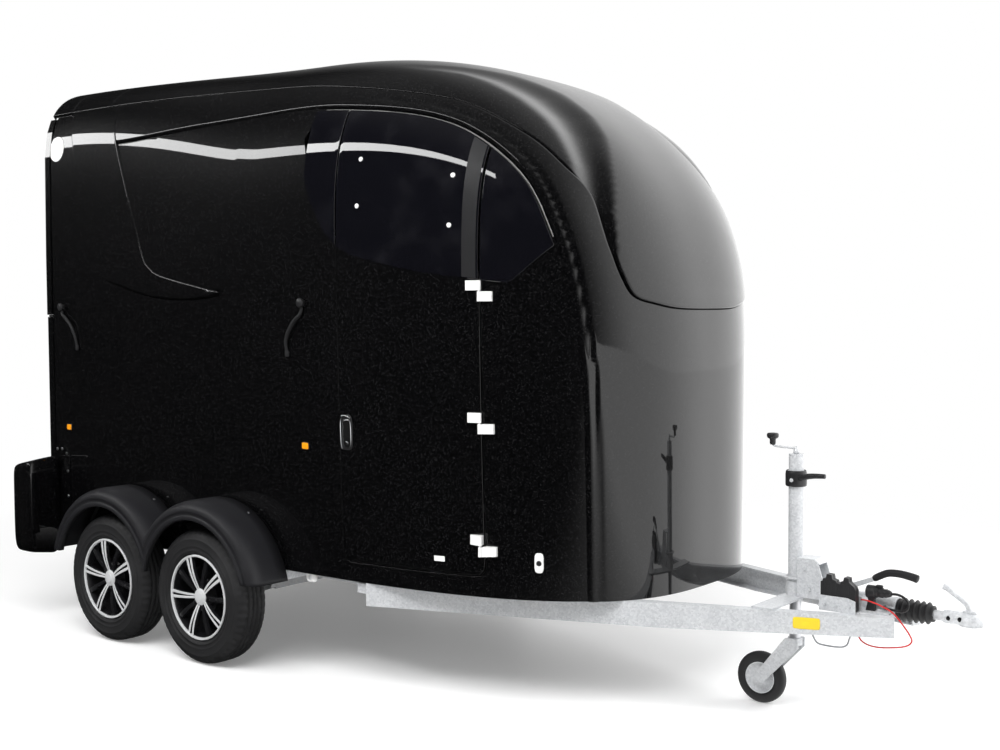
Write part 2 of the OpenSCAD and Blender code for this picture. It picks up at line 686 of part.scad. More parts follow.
// Coupling and drawbar fittings
house_back = 3010;
house_front = 3300;
base_t = 8;
base_z = rail_top + base_t + seat_gap;
module overrun_housing() color(galvanised) seat() {
    translate([house_back, -bar_front_y - 12, rail_top]) cube([house_front - house_back, 2 * bar_front_y + 24, base_t]);
    translate([house_back, -45, rail_top + base_t - cut]) cube([house_front - house_back - 10, 90, 36]);
    translate([house_back + 20, 0, hitch_z]) rotate([0, 90, 0])
        cylinder(r = 38, h = house_front - house_back - 20, $fn = 48);
}

module bellows() color(rubber_black) seat() translate([house_front + 0.3, 0, hitch_z]) rotate([0, 90, 0])
    rotate_extrude($fn = 48) polygon(concat([[20, 0]],
        [for (i = [0 : 6]) each [[34, i * 20], [27, i * 20 + 10]]], [[34, 140], [20, 140]]));

socket_x = hitch_reach - 45;
module coupling_head() color(galvanised) seat() difference() {
    union() {
        translate([house_front + 0.3, 0, hitch_z]) rotate([0, 90, 0]) cylinder(r = 19.5, h = 200, $fn = 48);
        translate([house_front + 141, 0, hitch_z]) rotate([0, 90, 0]) cylinder(r = 26, h = 90, $fn = 48);
        translate([socket_x, 0, hitch_z - 18]) cylinder(r = 45, h = 44, $fn = 64);
        translate([house_front + 190, -30, hitch_z - 18]) cube([socket_x - house_front - 190, 60, 44]);
    }
    translate([socket_x, 0, hitch_z - 30]) cylinder(r = ball_r, h = 44, $fn = 64);
}

module coupling_handle() color("silver") seat()
    translate([socket_x - 60, 8, hitch_z + 26.3]) rotate([90, 0, 0]) linear_extrude(16)
        polygon([[0, 0], [60, 0], [60, 14], [20, 30], [-70, 108], [-84, 104], [-76, 92], [-10, 24]]);

module chock_bracket() color(rubber_black) seat()
    translate([3040, -120, base_z]) cube([150, 22, 60]);
module wheel_chocks() color(rubber_black) seat()
    for (y = [-120, -138.3])
        translate([3040, y - seat_gap, rail_top + 30]) rotate([90, 0, 0]) linear_extrude(18)
            polygon([[0, 0], [150, 0], [150, 20], [20, 90], [0, 80]]);

module plug_holder() color(rubber_black) seat()
    translate([3200, -95, base_z]) cube([40, 26, 90]);
module plug() color(rubber_black) seat()
    translate([3240.3, -77, rail_top + 80]) rotate([0, 90, 0]) cylinder(r = 17, h = 60, $fn = 32);

// Cords, as routes of hand-set points
power_route = [[3300.6, -77, 550], [3325, -77, 551], [3352, -80, 542], [3368, -82, 522],
    [3366, -82, 502], [3348, -80, 489], [3324, -76, 486], [3304, -72, 487], [3282, -70, 489],
    [3267, -66, 490.5], [3262, -56, 491], [3262, -45.3, 491]];
power_r = 5;
breakaway_route = [[3190.5, -109, 520], [3215, -110, 519.5], [3262, -112, 510], [3318, -111, 486],
    [3357, -110, 446], [3385, -110, 410], [3394, -111, 385], [3370, -112, 364], [3320, -115, 352],
    [3270, -120, 346], [3230, -126, 350], [3202, -133, 366], [3188, -138, 396], [3180, -142.5, 425]];
breakaway_r = 3;
function unit(v) = v / norm(v);
function route_dir(p, i) = unit(p[min(i + 1, len(p) - 1)] - p[max(i - 1, 0)]);
module cord(route, r, sides) {
    n = len(route);
    rings = [for (i = [0 : n - 1])
        let (t = route_dir(route, i), s = unit(cross(t, [0, 1, 0.01])), u = cross(s, t))
        [for (j = [0 : sides - 1]) let (a = 360 * j / sides) route[i] + r * (cos(a) * s + sin(a) * u)]];
    polyhedron([for (g = rings) for (p = g) p], concat(
        [[for (j = [sides - 1 : -1 : 0]) j]],
        [[for (j = [0 : sides - 1]) (n - 1) * sides + j]],
        [for (i = [0 : n - 2]) for (j = [0 : sides - 1])
            let (a = i * sides + j, b = i * sides + (j + 1) % sides)
            each [[a, b, b + sides], [a, b + sides, a + sides]]]));
}
module power_cable() color("black") seat() cord(power_route, power_r, 8);
module breakaway_cable() color("red") seat() cord(breakaway_route, breakaway_r, 8);

// Jockey leg
fork_z = 300;
slide_fit = 0.08;
clamp_z = 500;
module leg_clamp() color(galvanised) seat() difference() {
    union() {
        translate([leg_x - 45, -300, rail_top]) cube([90, 600, 8]);
        translate([leg_x, 0, rail_top]) cylinder(r = leg_r + 9, h = 70, $fn = 48);
    }
    translate([leg_x, 0, 0]) cylinder(r = leg_r + 0.3, h = far, $fn = 48);
}

leg_low = 455;
leg_high = 1060;
module leg_tube() color(galvanised) seat() translate([leg_x, 0, 0]) {
    difference() {
        translate([0, 0, leg_low]) cylinder(r = leg_r, h = leg_high - leg_low, $fn = 48);
        translate([0, 0, leg_low - cut]) cylinder(r = leg_core_r + slide_fit, h = leg_high - leg_low - 20, $fn = 48);
    }
    difference() {
        translate([0, 0, 930]) cylinder(r = leg_r + 8, h = 60, $fn = 48);
        translate([0, 0, 930 - cut]) cylinder(r = leg_r - 0.01, h = 60 + 2 * cut, $fn = 48);
    }
}

module leg_crank() color(rubber_black) seat() translate([leg_x, 0, leg_high + 0.3]) {
    cylinder(r = 12, h = 24, $fn = 32);
    translate([-120, -9, 10]) cube([120, 18, 8]);
    translate([-112, 0, 18]) cylinder(r = 13, h = 45, $fn = 32);
}

module leg_core() color("silver") seat() translate([leg_x, 0, fork_z])
    cylinder(r = leg_core_r, h = 560, $fn = 48);

fork_w = 68;
module jockey_fork() color(galvanised) seat() {
    translate([leg_x, 0, fork_z - 30.3]) cylinder(r = leg_r, h = 30, $fn = 48);
    both() translate([leg_x, fork_w / 2 - 6, 0]) rotate([-90, 0, 0]) linear_extrude(6) polygon([
        [-30, -fork_z + 2], [28, -fork_z + 2], [28, -fork_z + 40], [-jockey_trail + 20, -jockey_r + 16],
        [-jockey_trail - 16, -jockey_r + 16], [-jockey_trail - 16, -jockey_r - 16]]);
    translate([leg_x - jockey_trail, -fork_w / 2, jockey_r]) rotate([-90, 0, 0])
        cylinder(r = 8, h = fork_w, $fn = 32);
}

module jockey_wheel() color(rubber_black) seat() translate([leg_x - jockey_trail, 0, jockey_r])
    rotate([90, 0, 0]) difference() {
        rotate_extrude($fn = 64) polygon([[0, -18], [50, -18], [60, -22], [jockey_r - 12, -22],
            [jockey_r, -12], [jockey_r, 12], [jockey_r - 12, 22], [60, 22], [50, 18], [0, 18]]);
        translate([0, 0, -30]) cylinder(r = 8 + bearing_fit, h = 60, $fn = 32);
    }

lever_x = 3040;
lever_z = 520;
module handbrake_lever() color(galvanised) seat()
    translate([lever_x, -45 - seat_gap, lever_z]) rotate([90, 0, 0]) rotate([0, 0, 23]) {
        linear_extrude(10) union() {
            circle(r = 22, $fn = 32);
            translate([0, -10]) square([230, 20]);
        }
        translate([215, 0, 5]) rotate([0, 90, 0]) cylinder(r = 14, h = 160, $fn = 32);
    }

chassis();
drawbar();
axle_front();
axle_rear();
floor();
wall_right();
wall_left();
nose_shell();
roof_shell();
rear_cap();
portal();
swoosh_right();
swoosh_left();
window_rear_right();
window_front_right();
window_left();
hinge_leaves();
mudguard_right();
mudguard_left();
pod_right();
pod_left();
tail_lamps();
side_reflectors();
position_lamps();
tie_points();
centre_post();
partition();
breast_bars();
overrun_housing();
bellows();
coupling_head();
coupling_handle();
chock_bracket();
wheel_chocks();
plug_holder();
plug();
power_cable();
breakaway_cable();
leg_clamp();
leg_tube();
leg_crank();
door_panel();
door_window();
door_handle();
door_hinges();
ramp_panel();
rear_flap();
handbrake_lever();
tyre_front_right();
rim_front_right();
tyre_front_left();
rim_front_left();
tyre_rear_right();
rim_rear_right();
tyre_rear_left();
rim_rear_left();
leg_core();
jockey_fork();
jockey_wheel();
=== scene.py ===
import bpy
import json
import math
import numpy as np
from mathutils import Matrix, Vector

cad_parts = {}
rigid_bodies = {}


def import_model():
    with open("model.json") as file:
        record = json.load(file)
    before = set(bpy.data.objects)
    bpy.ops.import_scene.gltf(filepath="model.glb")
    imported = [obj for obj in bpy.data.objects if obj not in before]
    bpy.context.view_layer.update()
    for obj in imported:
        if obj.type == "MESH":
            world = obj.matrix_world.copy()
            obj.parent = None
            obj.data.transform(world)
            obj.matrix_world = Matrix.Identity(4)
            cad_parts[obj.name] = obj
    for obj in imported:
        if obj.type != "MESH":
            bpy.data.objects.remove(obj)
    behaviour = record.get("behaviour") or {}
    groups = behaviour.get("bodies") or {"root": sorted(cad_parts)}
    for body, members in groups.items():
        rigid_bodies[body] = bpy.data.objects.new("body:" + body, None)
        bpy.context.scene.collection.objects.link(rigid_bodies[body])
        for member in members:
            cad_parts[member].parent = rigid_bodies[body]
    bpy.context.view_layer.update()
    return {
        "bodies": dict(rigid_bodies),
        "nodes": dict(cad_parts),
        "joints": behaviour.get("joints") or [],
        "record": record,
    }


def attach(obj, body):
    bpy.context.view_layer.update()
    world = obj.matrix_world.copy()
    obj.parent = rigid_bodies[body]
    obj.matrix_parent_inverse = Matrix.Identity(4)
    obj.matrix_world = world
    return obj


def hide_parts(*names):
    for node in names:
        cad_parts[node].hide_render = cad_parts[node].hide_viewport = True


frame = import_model()
scene = bpy.context.scene
midShift = 1.2215          # the pieces below are drawn from the midpoint between the axles
print("frame loaded")


def seat(point):
    return (point[0] - midShift, point[1], point[2])


# Camera, as the photographer stood
camera = {"spot": (5.185, -4.863, 1.642), "yaw": 38.56, "pitch": 2.76, "roll": -0.26, "lens": 46.25}


def makeCamera():
    yaw, pitch, roll = (math.radians(camera[k]) for k in ("yaw", "pitch", "roll"))
    look = Vector((-math.sin(yaw) * math.cos(pitch), math.cos(yaw) * math.cos(pitch), -math.sin(pitch)))
    flat = Vector((math.cos(yaw), math.sin(yaw), 0))
    lift = flat.cross(look)
    right = math.cos(roll) * flat + math.sin(roll) * lift
    up = -math.sin(roll) * flat + math.cos(roll) * lift
    data = bpy.data.cameras.new("camera")
    data.sensor_fit = "HORIZONTAL"
    data.sensor_width = 36
    data.lens = camera["lens"]
    data.clip_end = 200
    eye = bpy.data.objects.new("camera", data)
    turn = Matrix((right, up, -look)).transposed().to_4x4()
    eye.matrix_world = Matrix.Translation(seat(camera["spot"])) @ turn
    scene.collection.objects.link(eye)
    scene.camera = eye


makeCamera()


# Mesh helpers. Points are from the axle midpoint and are seated here
def meshPiece(name, points, faces, paint, body, nodes=(), normals=None, flat=False, faceSlots=None):
    mesh = bpy.data.meshes.new(name)
    mesh.from_pydata([seat(p) for p in points], [], [list(f) for f in faces])
    mesh.polygons.foreach_set("use_smooth", [not flat] * len(mesh.polygons))
    for p in paint if isinstance(paint, (list, tuple)) else [paint]:
        mesh.materials.append(p)
    if faceSlots is not None:
        mesh.polygons.foreach_set("material_index", faceSlots)
    mesh.update()
    if normals is not None:
        mesh.normals_split_custom_set(normals)
    piece = bpy.data.objects.new(name, mesh)
    scene.collection.objects.link(piece)
    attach(piece, body)
    if nodes:
        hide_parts(*nodes)
    return piece


def softEdges(piece, width=0.0015, segments=2, angle=35):
    bevel = piece.modifiers.new("edges", "BEVEL")
    bevel.width = width
    bevel.segments = segments
    bevel.limit_method = "ANGLE"
    bevel.angle_limit = math.radians(angle)
    smooth = piece.modifiers.new("normals", "WEIGHTED_NORMAL")
    smooth.keep_sharp = True
    return piece


class Bits:  # collects points and faces of one piece
    def __init__(self):
        self.points, self.faces, self.slots = [], [], []

    def add(self, points, faces, slotIndex=0):
        base = len(self.points)
        self.points += [tuple(float(c) for c in p) for p in points]
        self.faces += [[base + i for i in f] for f in faces]
        self.slots += [slotIndex] * len(faces)

    def box(self, low, high, slotIndex=0):
        x0, y0, z0 = low
        x1, y1, z1 = high
        points = [(x, y, z) for z in (z0, z1) for y in (y0, y1) for x in (x0, x1)]
        self.add(points, [(0, 2, 3, 1), (4, 5, 7, 6), (0, 1, 5, 4), (2, 6, 7, 3), (0, 4, 6, 2), (1, 3, 7, 5)], slotIndex)

    def lathe(self, profile, centre, axis, steps=48, slotIndex=0, start=0.0, caps=True):  # profile of (radius, along)
        axis = Vector(axis).normalized()
        side = axis.orthogonal().normalized()
        other = axis.cross(side)
        points, faces = [], []
        for k in range(steps):
            a = start + 2 * math.pi * k / steps
            spoke = math.cos(a) * side + math.sin(a) * other
            points += [Vector(centre) + r * spoke + h * axis for r, h in profile]
        n = len(profile)
        for k in range(steps):
            m = (k + 1) % steps
            faces += [(k * n + j, m * n + j, m * n + (j + 1) % n,
                       k * n + (j + 1) % n) for j in range(n - 1 if caps else n)]
        for j, flip in ((0, True), (n - 1, False)):
            if caps and profile[j][0] > 1e-5:
                ring = [k * n + j for k in range(steps)]
                faces.append(ring[::-1] if flip else ring)
        self.add(points, faces, slotIndex)

    def tube(self, route, radius, steps=12, slotIndex=0, caps=True):  # radius is a number or one per point
        route = [Vector(p) for p in route]
        radii = radius if isinstance(radius, (list, tuple)) else [radius] * len(route)
        up = None
        points, faces = [], []
        for i, p in enumerate(route):
            way = (route[min(i + 1, len(route) - 1)] - route[max(i - 1, 0)]).normalized()
            side = way.orthogonal().normalized() if up is None else (up - up.dot(way) * way).normalized()
            up = side
            other = way.cross(side)
            for k in range(steps):
                a = 2 * math.pi * k / steps
                points.append(p + radii[i] * (math.cos(a) * side + math.sin(a) * other))
        for i in range(len(route) - 1):
            for k in range(steps):
                m = (k + 1) % steps
                faces.append((i * steps + k, i * steps + m, (i + 1) * steps + m, (i + 1) * steps + k))
        if caps:
            faces.append(list(range(steps))[::-1])
            faces.append([(len(route) - 1) * steps + k for k in range(steps)])
        self.add(points, faces, slotIndex)

    def prism(self, outline, lift, slotIndex=0):  # outline of 3D points, lifted along a vector
        n = len(outline)
        lift = Vector(lift)
        points = [Vector(p) for p in outline] + [Vector(p) + lift for p in outline]
        faces = [list(range(n))[::-1], [n + i for i in range(n)]]
        faces += [(i, (i + 1) % n, n + (i + 1) % n, n + i) for i in range(n)]
        self.add(points, faces, slotIndex)

    def mirrored(self):
        base = len(self.points)
        self.points += [(x, -y, z) for x, y, z in self.points]
        self.faces += [[base + i for i in f[::-1]] for f in self.faces]
        self.slots += self.slots
        return self

    def piece(self, name, paint, body="trailer", nodes=(), slotName=None, edge=0.0015, flat=False):
        made = meshPiece(name, self.points, self.faces, paint, body, nodes, faceSlots=self.slots, flat=flat)
        return softEdges(made, edge) if edge else made


def smoothLine(points, per=8, closed=False):  # Catmull-Rom through the points
    p = np.array(points, float)
    n = len(p)
    spans = n if closed else n - 1
    out = []
    for i in range(spans):
        a, b, c, d = (p[(i + k) % n] if closed else p[min(max(i + k, 0), n - 1)] for k in (-1, 0, 1, 2))
        for u in np.arange(per) / per:
            out.append(0.5 * (2 * b + (c - a) * u + (2 * a - 5 * b + 4 * c - d) * u ** 2 + (3 * b - a - 3 * c + d) * u ** 3))
    if not closed:
        out.append(p[-1])
    return np.array(out)


# Shader helpers
class Wire:  # one socket; arithmetic on it adds Math nodes
    def __init__(self, paint, socket):
        self.paint, self.socket = paint, socket

    def calc(self, operation, *values):
        return self.paint.add("ShaderNodeMath", {"operation": operation}, dict(enumerate(values)))

    def __add__(self, other):
        return self.calc("ADD", self, other)

    def __radd__(self, other):
        return self.calc("ADD", other, self)

    def __sub__(self, other):
        return self.calc("SUBTRACT", self, other)

    def __rsub__(self, other):
        return self.calc("SUBTRACT", other, self)

    def __mul__(self, other):
        return self.calc("MULTIPLY", self, other)

    def __rmul__(self, other):
        return self.calc("MULTIPLY", other, self)

    def __truediv__(self, other):
        return self.calc("DIVIDE", self, other)

    def __rtruediv__(self, other):
        return self.calc("DIVIDE", other, self)

    def __pow__(self, other):
        return self.calc("POWER", self, other)

    def __gt__(self, other):
        return self.calc("GREATER_THAN", self, other)

    def step(self, low, high):  # 0 below low, 1 above high, smooth between
        return self.paint.add("ShaderNodeMapRange", {"interpolation_type": "SMOOTHSTEP"},
                              {0: self, 1: low, 2: high, 3: 0.0, 4: 1.0})


class Paint:
    def __init__(self, name, holder=None):
        self.holder = holder or bpy.data.materials.new(name)
        self.holder.use_nodes = True
        self.tree = self.holder.node_tree
        self.tree.nodes.clear()

    def add(self, kind, settings=None, values=None, out=0):
        node = self.tree.nodes.new(kind)
        for key, value in (settings or {}).items():
            if key == "stops":
                ramp = node.color_ramp
                while len(ramp.elements) < len(value):
                    ramp.elements.new(0.5)
                for stop, (spot, tint) in zip(ramp.elements, value):
                    stop.position = spot
                    stop.color = tint if len(tint) == 4 else (*tint, 1)
            else:
                setattr(node, key, value)
        for key, value in (values or {}).items():
            if isinstance(value, Wire):
                self.tree.links.new(value.socket, node.inputs[key])
            elif isinstance(value, (tuple, list)) and len(value) == 3 and node.inputs[key].type == "RGBA":
                node.inputs[key].default_value = (*value, 1)
            else:
                node.inputs[key].default_value = value
        return Wire(self, node.outputs[out])

    def spot(self):  # position on the piece, in metres
        return self.add("ShaderNodeTexCoord", out="Object")

    def axes(self):
        spot = self.add("ShaderNodeSeparateXYZ", values={0: self.spot()}).socket.node
        return [Wire(self, spot.outputs[k]) for k in range(3)]

    def noise(self, scale, detail=3, rough=0.55, stretch=None, out=0):
        place = self.spot()
        if stretch:
            place = self.add("ShaderNodeMapping", values={0: place, "Scale": stretch})
        return self.add("ShaderNodeTexNoise", values={"Vector": place, "Scale": scale, "Detail": detail,
                                                      "Roughness": rough}, out=out)

    def cells(self, scale, out="Color", feature="F1"):
        return self.add("ShaderNodeTexVoronoi", {"feature": feature}, {"Vector": self.spot(), "Scale": scale}, out=out)

    def mix(self, factor, first, second):
        return self.add("ShaderNodeMix", {"data_type": "RGBA"}, {0: factor, 6: first, 7: second}, out=2)

    def bump(self, height, strength, distance=0.002, under=None):
        values = {"Height": height, "Strength": strength, "Distance": distance}
        if under:
            values["Normal"] = under
        return self.add("ShaderNodeBump", values=values)

    def finish(self, **values):
        names = {k.replace("_", " "): v for k, v in values.items()}
        shader = self.add("ShaderNodeBsdfPrincipled", values=names)
        self.close(shader)
        return self.holder

    def close(self, shader, kind="ShaderNodeOutputMaterial"):
        end = self.tree.nodes.new(kind)
        self.tree.links.new(shader.socket, end.inputs[0])


def bodyGloss(name="body_black", tint=(0.0004, 0.0004, 0.0006), flakeSparkle=0.018):
    p = Paint(name)
    fine = p.add("ShaderNodeSeparateColor", values={0: p.cells(480)})
    coarse = p.add("ShaderNodeSeparateColor", values={0: p.cells(300)})
    # metallic flakes in the paint with their sparkle painted in: random bright specks in the base colour stand in for
    # painted glints on the flakes
    glint = (fine ** 12) * 0.8 + (coarse ** 14)
    cloud = p.noise(1.3, 4)
    haze = p.noise(26, 5)
    colour = p.mix(glint * (0.4 + cloud * 0.7), tint, (flakeSparkle, flakeSparkle * 0.98, flakeSparkle * 1.02))
    return p.finish(Base_Color=colour, Metallic=0.0, Roughness=0.36 + haze * 0.12, Specular_IOR_Level=0.06,
                    Normal=p.bump(p.noise(520, 2), 0.12, 0.0003), Coat_Weight=1.0, Coat_Roughness=0.025, Coat_IOR=1.5)


def innerSkin():
    p = Paint("inner_skin")
    cloth = p.noise(90, 4)
    colour = p.mix(p.noise(3, 4).step(0.3, 0.7), (0.36, 0.36, 0.35), (0.45, 0.45, 0.44))
    return p.finish(Base_Color=colour, Roughness=0.55 + cloth * 0.2, Normal=p.bump(cloth, 0.3, 0.001))


def tintedGlass():
    p = Paint("tinted_glass")
    dust = p.noise(7, 6)
    return p.finish(Base_Color=p.mix(dust.step(0.45, 0.85), (0.003, 0.003, 0.0045), (0.009, 0.009, 0.011)),
                    Roughness=0.02 + dust.step(0.5, 0.9) * 0.05, Alpha=0.94, Coat_Weight=0.6, Coat_Roughness=0.02)


def galvanised(name="galvanised", light=0.7, scale=34):
    p = Paint(name)
    spangle = p.add("ShaderNodeSeparateColor", values={0: p.cells(scale * 4)})
    patch = p.noise(9, 5)
    stain = p.noise(2.2, 6).step(0.5, 0.8)
    tone = p.mix(spangle * 0.45 + patch * 0.4, (light * 0.72, light * 0.74, light * 0.77), (light * 1.2, light * 1.22,
            light * 1.24))
    tone = p.mix(stain * 0.35, tone, (light * 0.8, light * 0.79, light * 0.76))
    return p.finish(Base_Color=tone, Metallic=0.3, Roughness=0.36 + spangle * 0.16 + stain * 0.12,
                    Normal=p.bump(p.noise(240, 3) + patch * 0.6, 0.16, 0.001))


def moulded(name, tint, rough=0.55, grain=900, strength=0.25, wear=0.35):  # plain plastics and rubbers
    p = Paint(name)
    dust = p.noise(5, 6).step(0.45, 0.8)
    pores = p.noise(grain, 3)
    lighter = tuple(min(1, c * 1.5 + 0.012) for c in tint)
    return p.finish(Base_Color=p.mix(dust * wear, tint, lighter), Roughness=rough + dust * 0.12 - pores * 0.05,
                    Normal=p.bump(pores, strength, 0.0008))


def polished(name, tint, rough, metallic=1.0, brushed=0.0):
    p = Paint(name)
    smear = p.noise(14, 5)
    lines = p.noise(160, 2, stretch=(1, 1, 14)) if brushed else smear
    return p.finish(Base_Color=p.mix(smear * 0.4, tint, tuple(c * 0.82 for c in tint)), Metallic=metallic,
                    Roughness=rough + smear * 0.08, Normal=p.bump(lines, 0.05 + brushed, 0.0004))


def lens(name, tint, rough=0.08):
    p = Paint(name)
    fluting = p.noise(300, 1)
    shade = p.noise(20, 3)
    return p.finish(Base_Color=p.mix(shade * 0.35, tint, tuple(c * 0.7 for c in tint)), Roughness=rough + fluting * 0.06,
                    Normal=p.bump(fluting, 0.12, 0.0006), Coat_Weight=0.8, Coat_Roughness=0.03)


def boardWood():
    p = Paint("floor_board")
    grid = p.cells(210, "Distance").step(0.1, 0.5)
    tone = p.mix(p.noise(4, 5, stretch=(1, 6, 1)), (0.06, 0.055, 0.05), (0.1, 0.095, 0.088))
    return p.finish(Base_Color=tone, Roughness=0.62 + grid * 0.12, Normal=p.bump(grid, 0.5, 0.001))


paints = {
    "body": bodyGloss(),
    "inner": innerSkin(),
    "glass": tintedGlass(),
    "zinc": galvanised(),
    "zincDark": galvanised("galvanised_old", 0.42, 20),
    "guard": moulded("guard_plastic", (0.012, 0.012, 0.014), 0.52, 700, 0.3),
    "rubber": moulded("black_rubber", (0.014, 0.014, 0.015), 0.6, 600, 0.3),
    "plastic": moulded("black_plastic", (0.017, 0.017, 0.018), 0.4, 900, 0.15),
    "tyre": moulded("tyre_rubber", (0.016, 0.016, 0.017), 0.62, 420, 0.35, 0.6),
    "bright": polished("machined_alloy", (0.86, 0.87, 0.88), 0.22, 0.45, 0.06),
    "dark": moulded("dark_alloy", (0.008, 0.008, 0.009), 0.28, 800, 0.06),
    "chrome": polished("chrome", (0.86, 0.87, 0.88), 0.07),
    "steel": polished("zinc_plate", (0.62, 0.63, 0.65), 0.26),
    "clear": lens("lamp_clear", (0.8, 0.81, 0.82)),
    "red": lens("lamp_red", (0.45, 0.012, 0.01)),
    "amber": lens("lamp_amber", (0.9, 0.33, 0.01)),
    "white": moulded("hinge_white", (0.78, 0.78, 0.77), 0.38, 700, 0.08, 0.1),
    "board": boardWood(),
    "pad": moulded("padding_vinyl", (0.05, 0.05, 0.055), 0.5, 300, 0.35),
    "cable": moulded("cable_black", (0.012, 0.012, 0.013), 0.42, 900, 0.1),
    "cableRed": moulded("cable_red", (0.55, 0.02, 0.02), 0.42, 900, 0.1),
    "yellow": moulded("yellow_plate", (0.75, 0.55, 0.02), 0.4, 700, 0.05, 0.1),
}
print("paints ready")


# Free cords: the lighting cable with its plug parked, and the red breakaway cable
cords = {
    "powerRadius": 0.005,
    "breakawayRadius": 0.003,
    "powerRoute": [(3300.6, -77, 550), (3325, -77, 551), (3352, -80, 542), (3368, -82, 522), (3366, -82, 502),
                   (3348, -80, 489), (3324, -76, 486), (3304, -72, 487), (3282, -70, 489), (3267, -66, 490.5),
                   (3262, -56, 491), (3262, -45.3, 491)],
    "breakawayRoute": [(3190.5, -109, 520), (3215, -110, 519.5), (3262, -112, 510), (3318, -111, 486),
                       (3357, -110, 446), (3385, -110, 410), (3394, -111, 385), (3370, -112, 364), (3320, -115, 352),
                       (3270, -120, 346), (3230, -126, 350), (3202, -133, 366), (3188, -138, 396), (3180, -142.5, 425)],
}


def makeCord(name, key, radius, node, paint, slotName):
    route = smoothLine(np.array(cords[key]) / 1000, 3)   # routes are in millimetres
    path = [seat(p) for p in route]
    bits = Bits()
    bits.tube(route, radius, 14)
    cord = bits.piece(name, paint, "trailer", [node], slotName, edge=0)
    return cord


makeCord("lighting_cable", "powerRoute", cords["powerRadius"], "power_cable", paints["cable"], "cable_black")
makeCord("breakaway_line", "breakawayRoute", cords["breakawayRadius"], "breakaway_cable", paints["cableRed"],
         "cable_red")
print("cords laid")


# Floor, backdrop and light
studio = {
    "floorRadius": 60, "whiteLift": 0.16, "floorTint": 0.9,
    "glossDark": 0.012, "glossRoom": 1.9, "fill": 0.62, "roomWay": (0.62, 0.78),
    "strip": {"spot": (-2.2, -5.0, 5.3), "target": (1.6, -0.9, 2.3), "size": (10.5, 0.42), "watts": 130},
    "key": {"spot": (1.5, -4.5, 6.5), "target": (0, 0, 0.6), "size": (6.0, 4.0), "watts": 520},
    "room": {"spot": (5.5, 5.5, 4.5), "target": (0, 0, 1.0), "size": (6.0, 4.0), "watts": 420},
}


def raysOf(p):
    seen = p.add("ShaderNodeLightPath").socket.node
    return [Wire(p, seen.outputs[k]) for k in ("Is Camera Ray", "Is Glossy Ray", "Is Transmission Ray")]


def makeStage():
    p = Paint("studio_floor")
    eye, gloss, through = raysOf(p)
    x, y, z = p.axes()
    # painted light: for glossy rays the floor is an emission, brighter towards the white room, a painted pool of lamp
    # light that the body reflects
    lit = (x * studio["roomWay"][0] + y * studio["roomWay"][1]).step(-2.2, 2.6)
    surface = p.add("ShaderNodeBsdfPrincipled", values={"Base Color": (studio["floorTint"],) * 3,
                                                       "Roughness": 0.35 + p.noise(0.6,
                                                               2) * 0.1, "Specular IOR Level": 0.3})
    glow = p.add("ShaderNodeEmission", values={"Color": (1, 1, 1), "Strength": studio["whiteLift"]})
    near = p.add("ShaderNodeAddShader", values={0: surface, 1: glow})
    white = p.add("ShaderNodeEmission", values={"Color": (1, 1, 1), "Strength": 1.0})
    away = (x * x + y * y * 1.6).calc("SQRT", x * x + y * y * 1.6)
    seenFloor = p.add("ShaderNodeMixShader", values={0: away.step(2.6, 6.5), 1: near, 2: white})
    # painted light: glossy rays see this glow in place of the floor's own lighting, bright where the painted pool of
    # light lies
    mirrored = p.add("ShaderNodeEmission", values={"Color": (1, 1, 1), "Strength": 0.012 + lit * lit * 1.7})
    base = p.add("ShaderNodeMixShader", values={0: gloss, 1: surface, 2: mirrored})
    p.close(p.add("ShaderNodeMixShader", values={0: eye.calc("MAXIMUM", eye, through), 1: base, 2: seenFloor}))
    n = 96
    ring = [(studio["floorRadius"] * math.cos(2 * math.pi * k / n),
             studio["floorRadius"] * math.sin(2 * math.pi * k / n), 0)
            for k in range(n)]
    mesh = bpy.data.meshes.new("floor")
    mesh.from_pydata(ring, [], [list(range(n))])
    mesh.materials.append(p.holder)
    floor = bpy.data.objects.new("studio_floor", mesh)
    scene.collection.objects.link(floor)


def makeWorld():
    world = bpy.data.worlds.new("studio")
    scene.world = world
    p = Paint("studio", world)
    way = p.add("ShaderNodeSeparateXYZ", values={0: p.add("ShaderNodeTexCoord", out="Generated")}).socket.node
    x, y, z = (Wire(p, way.outputs[k]) for k in range(3))
    eye, gloss, through = raysOf(p)
    # the white room lies ahead and to the left
    toward = (x * studio["roomWay"][0] + y * studio["roomWay"][1]).step(-0.1, 0.85)
    high = z.step(0.55, 0.95)
    room = studio["glossDark"] + toward * studio["glossRoom"] * (1 - high * 0.45) + high * 0.12
    seen = eye.calc("MAXIMUM", eye, through)
    level = seen + (1 - seen) * (gloss * room + (1 - gloss) * studio["fill"])
    p.close(p.add("ShaderNodeBackground", values={"Color": (1, 1, 1), "Strength": level}), "ShaderNodeOutputWorld")


def makeLamp(name, mirrored):
    facts = studio[name]
    data = bpy.data.lights.new(name, "AREA")
    data.shape = "RECTANGLE"
    data.size, data.size_y = facts["size"]
    data.energy = facts["watts"]
    lamp = bpy.data.objects.new(name, data)
    spot, target = Vector(facts["spot"]), Vector(facts["target"])
    away = (spot - target).normalized()
    along = Vector((1, 0, 0))
    along = (along - along.dot(away) * away).normalized()   # long side level with the trailer
    turn = Matrix((along, away.cross(along), away)).transposed().to_4x4()
    lamp.matrix_world = Matrix.Translation(spot) @ turn
    lamp.visible_glossy = mirrored
    scene.collection.objects.link(lamp)


makeStage()
makeWorld()
makeLamp("strip", True)
makeLamp("key", False)
makeLamp("room", False)
scene.view_settings.view_transform = "Standard"
print("studio lit")


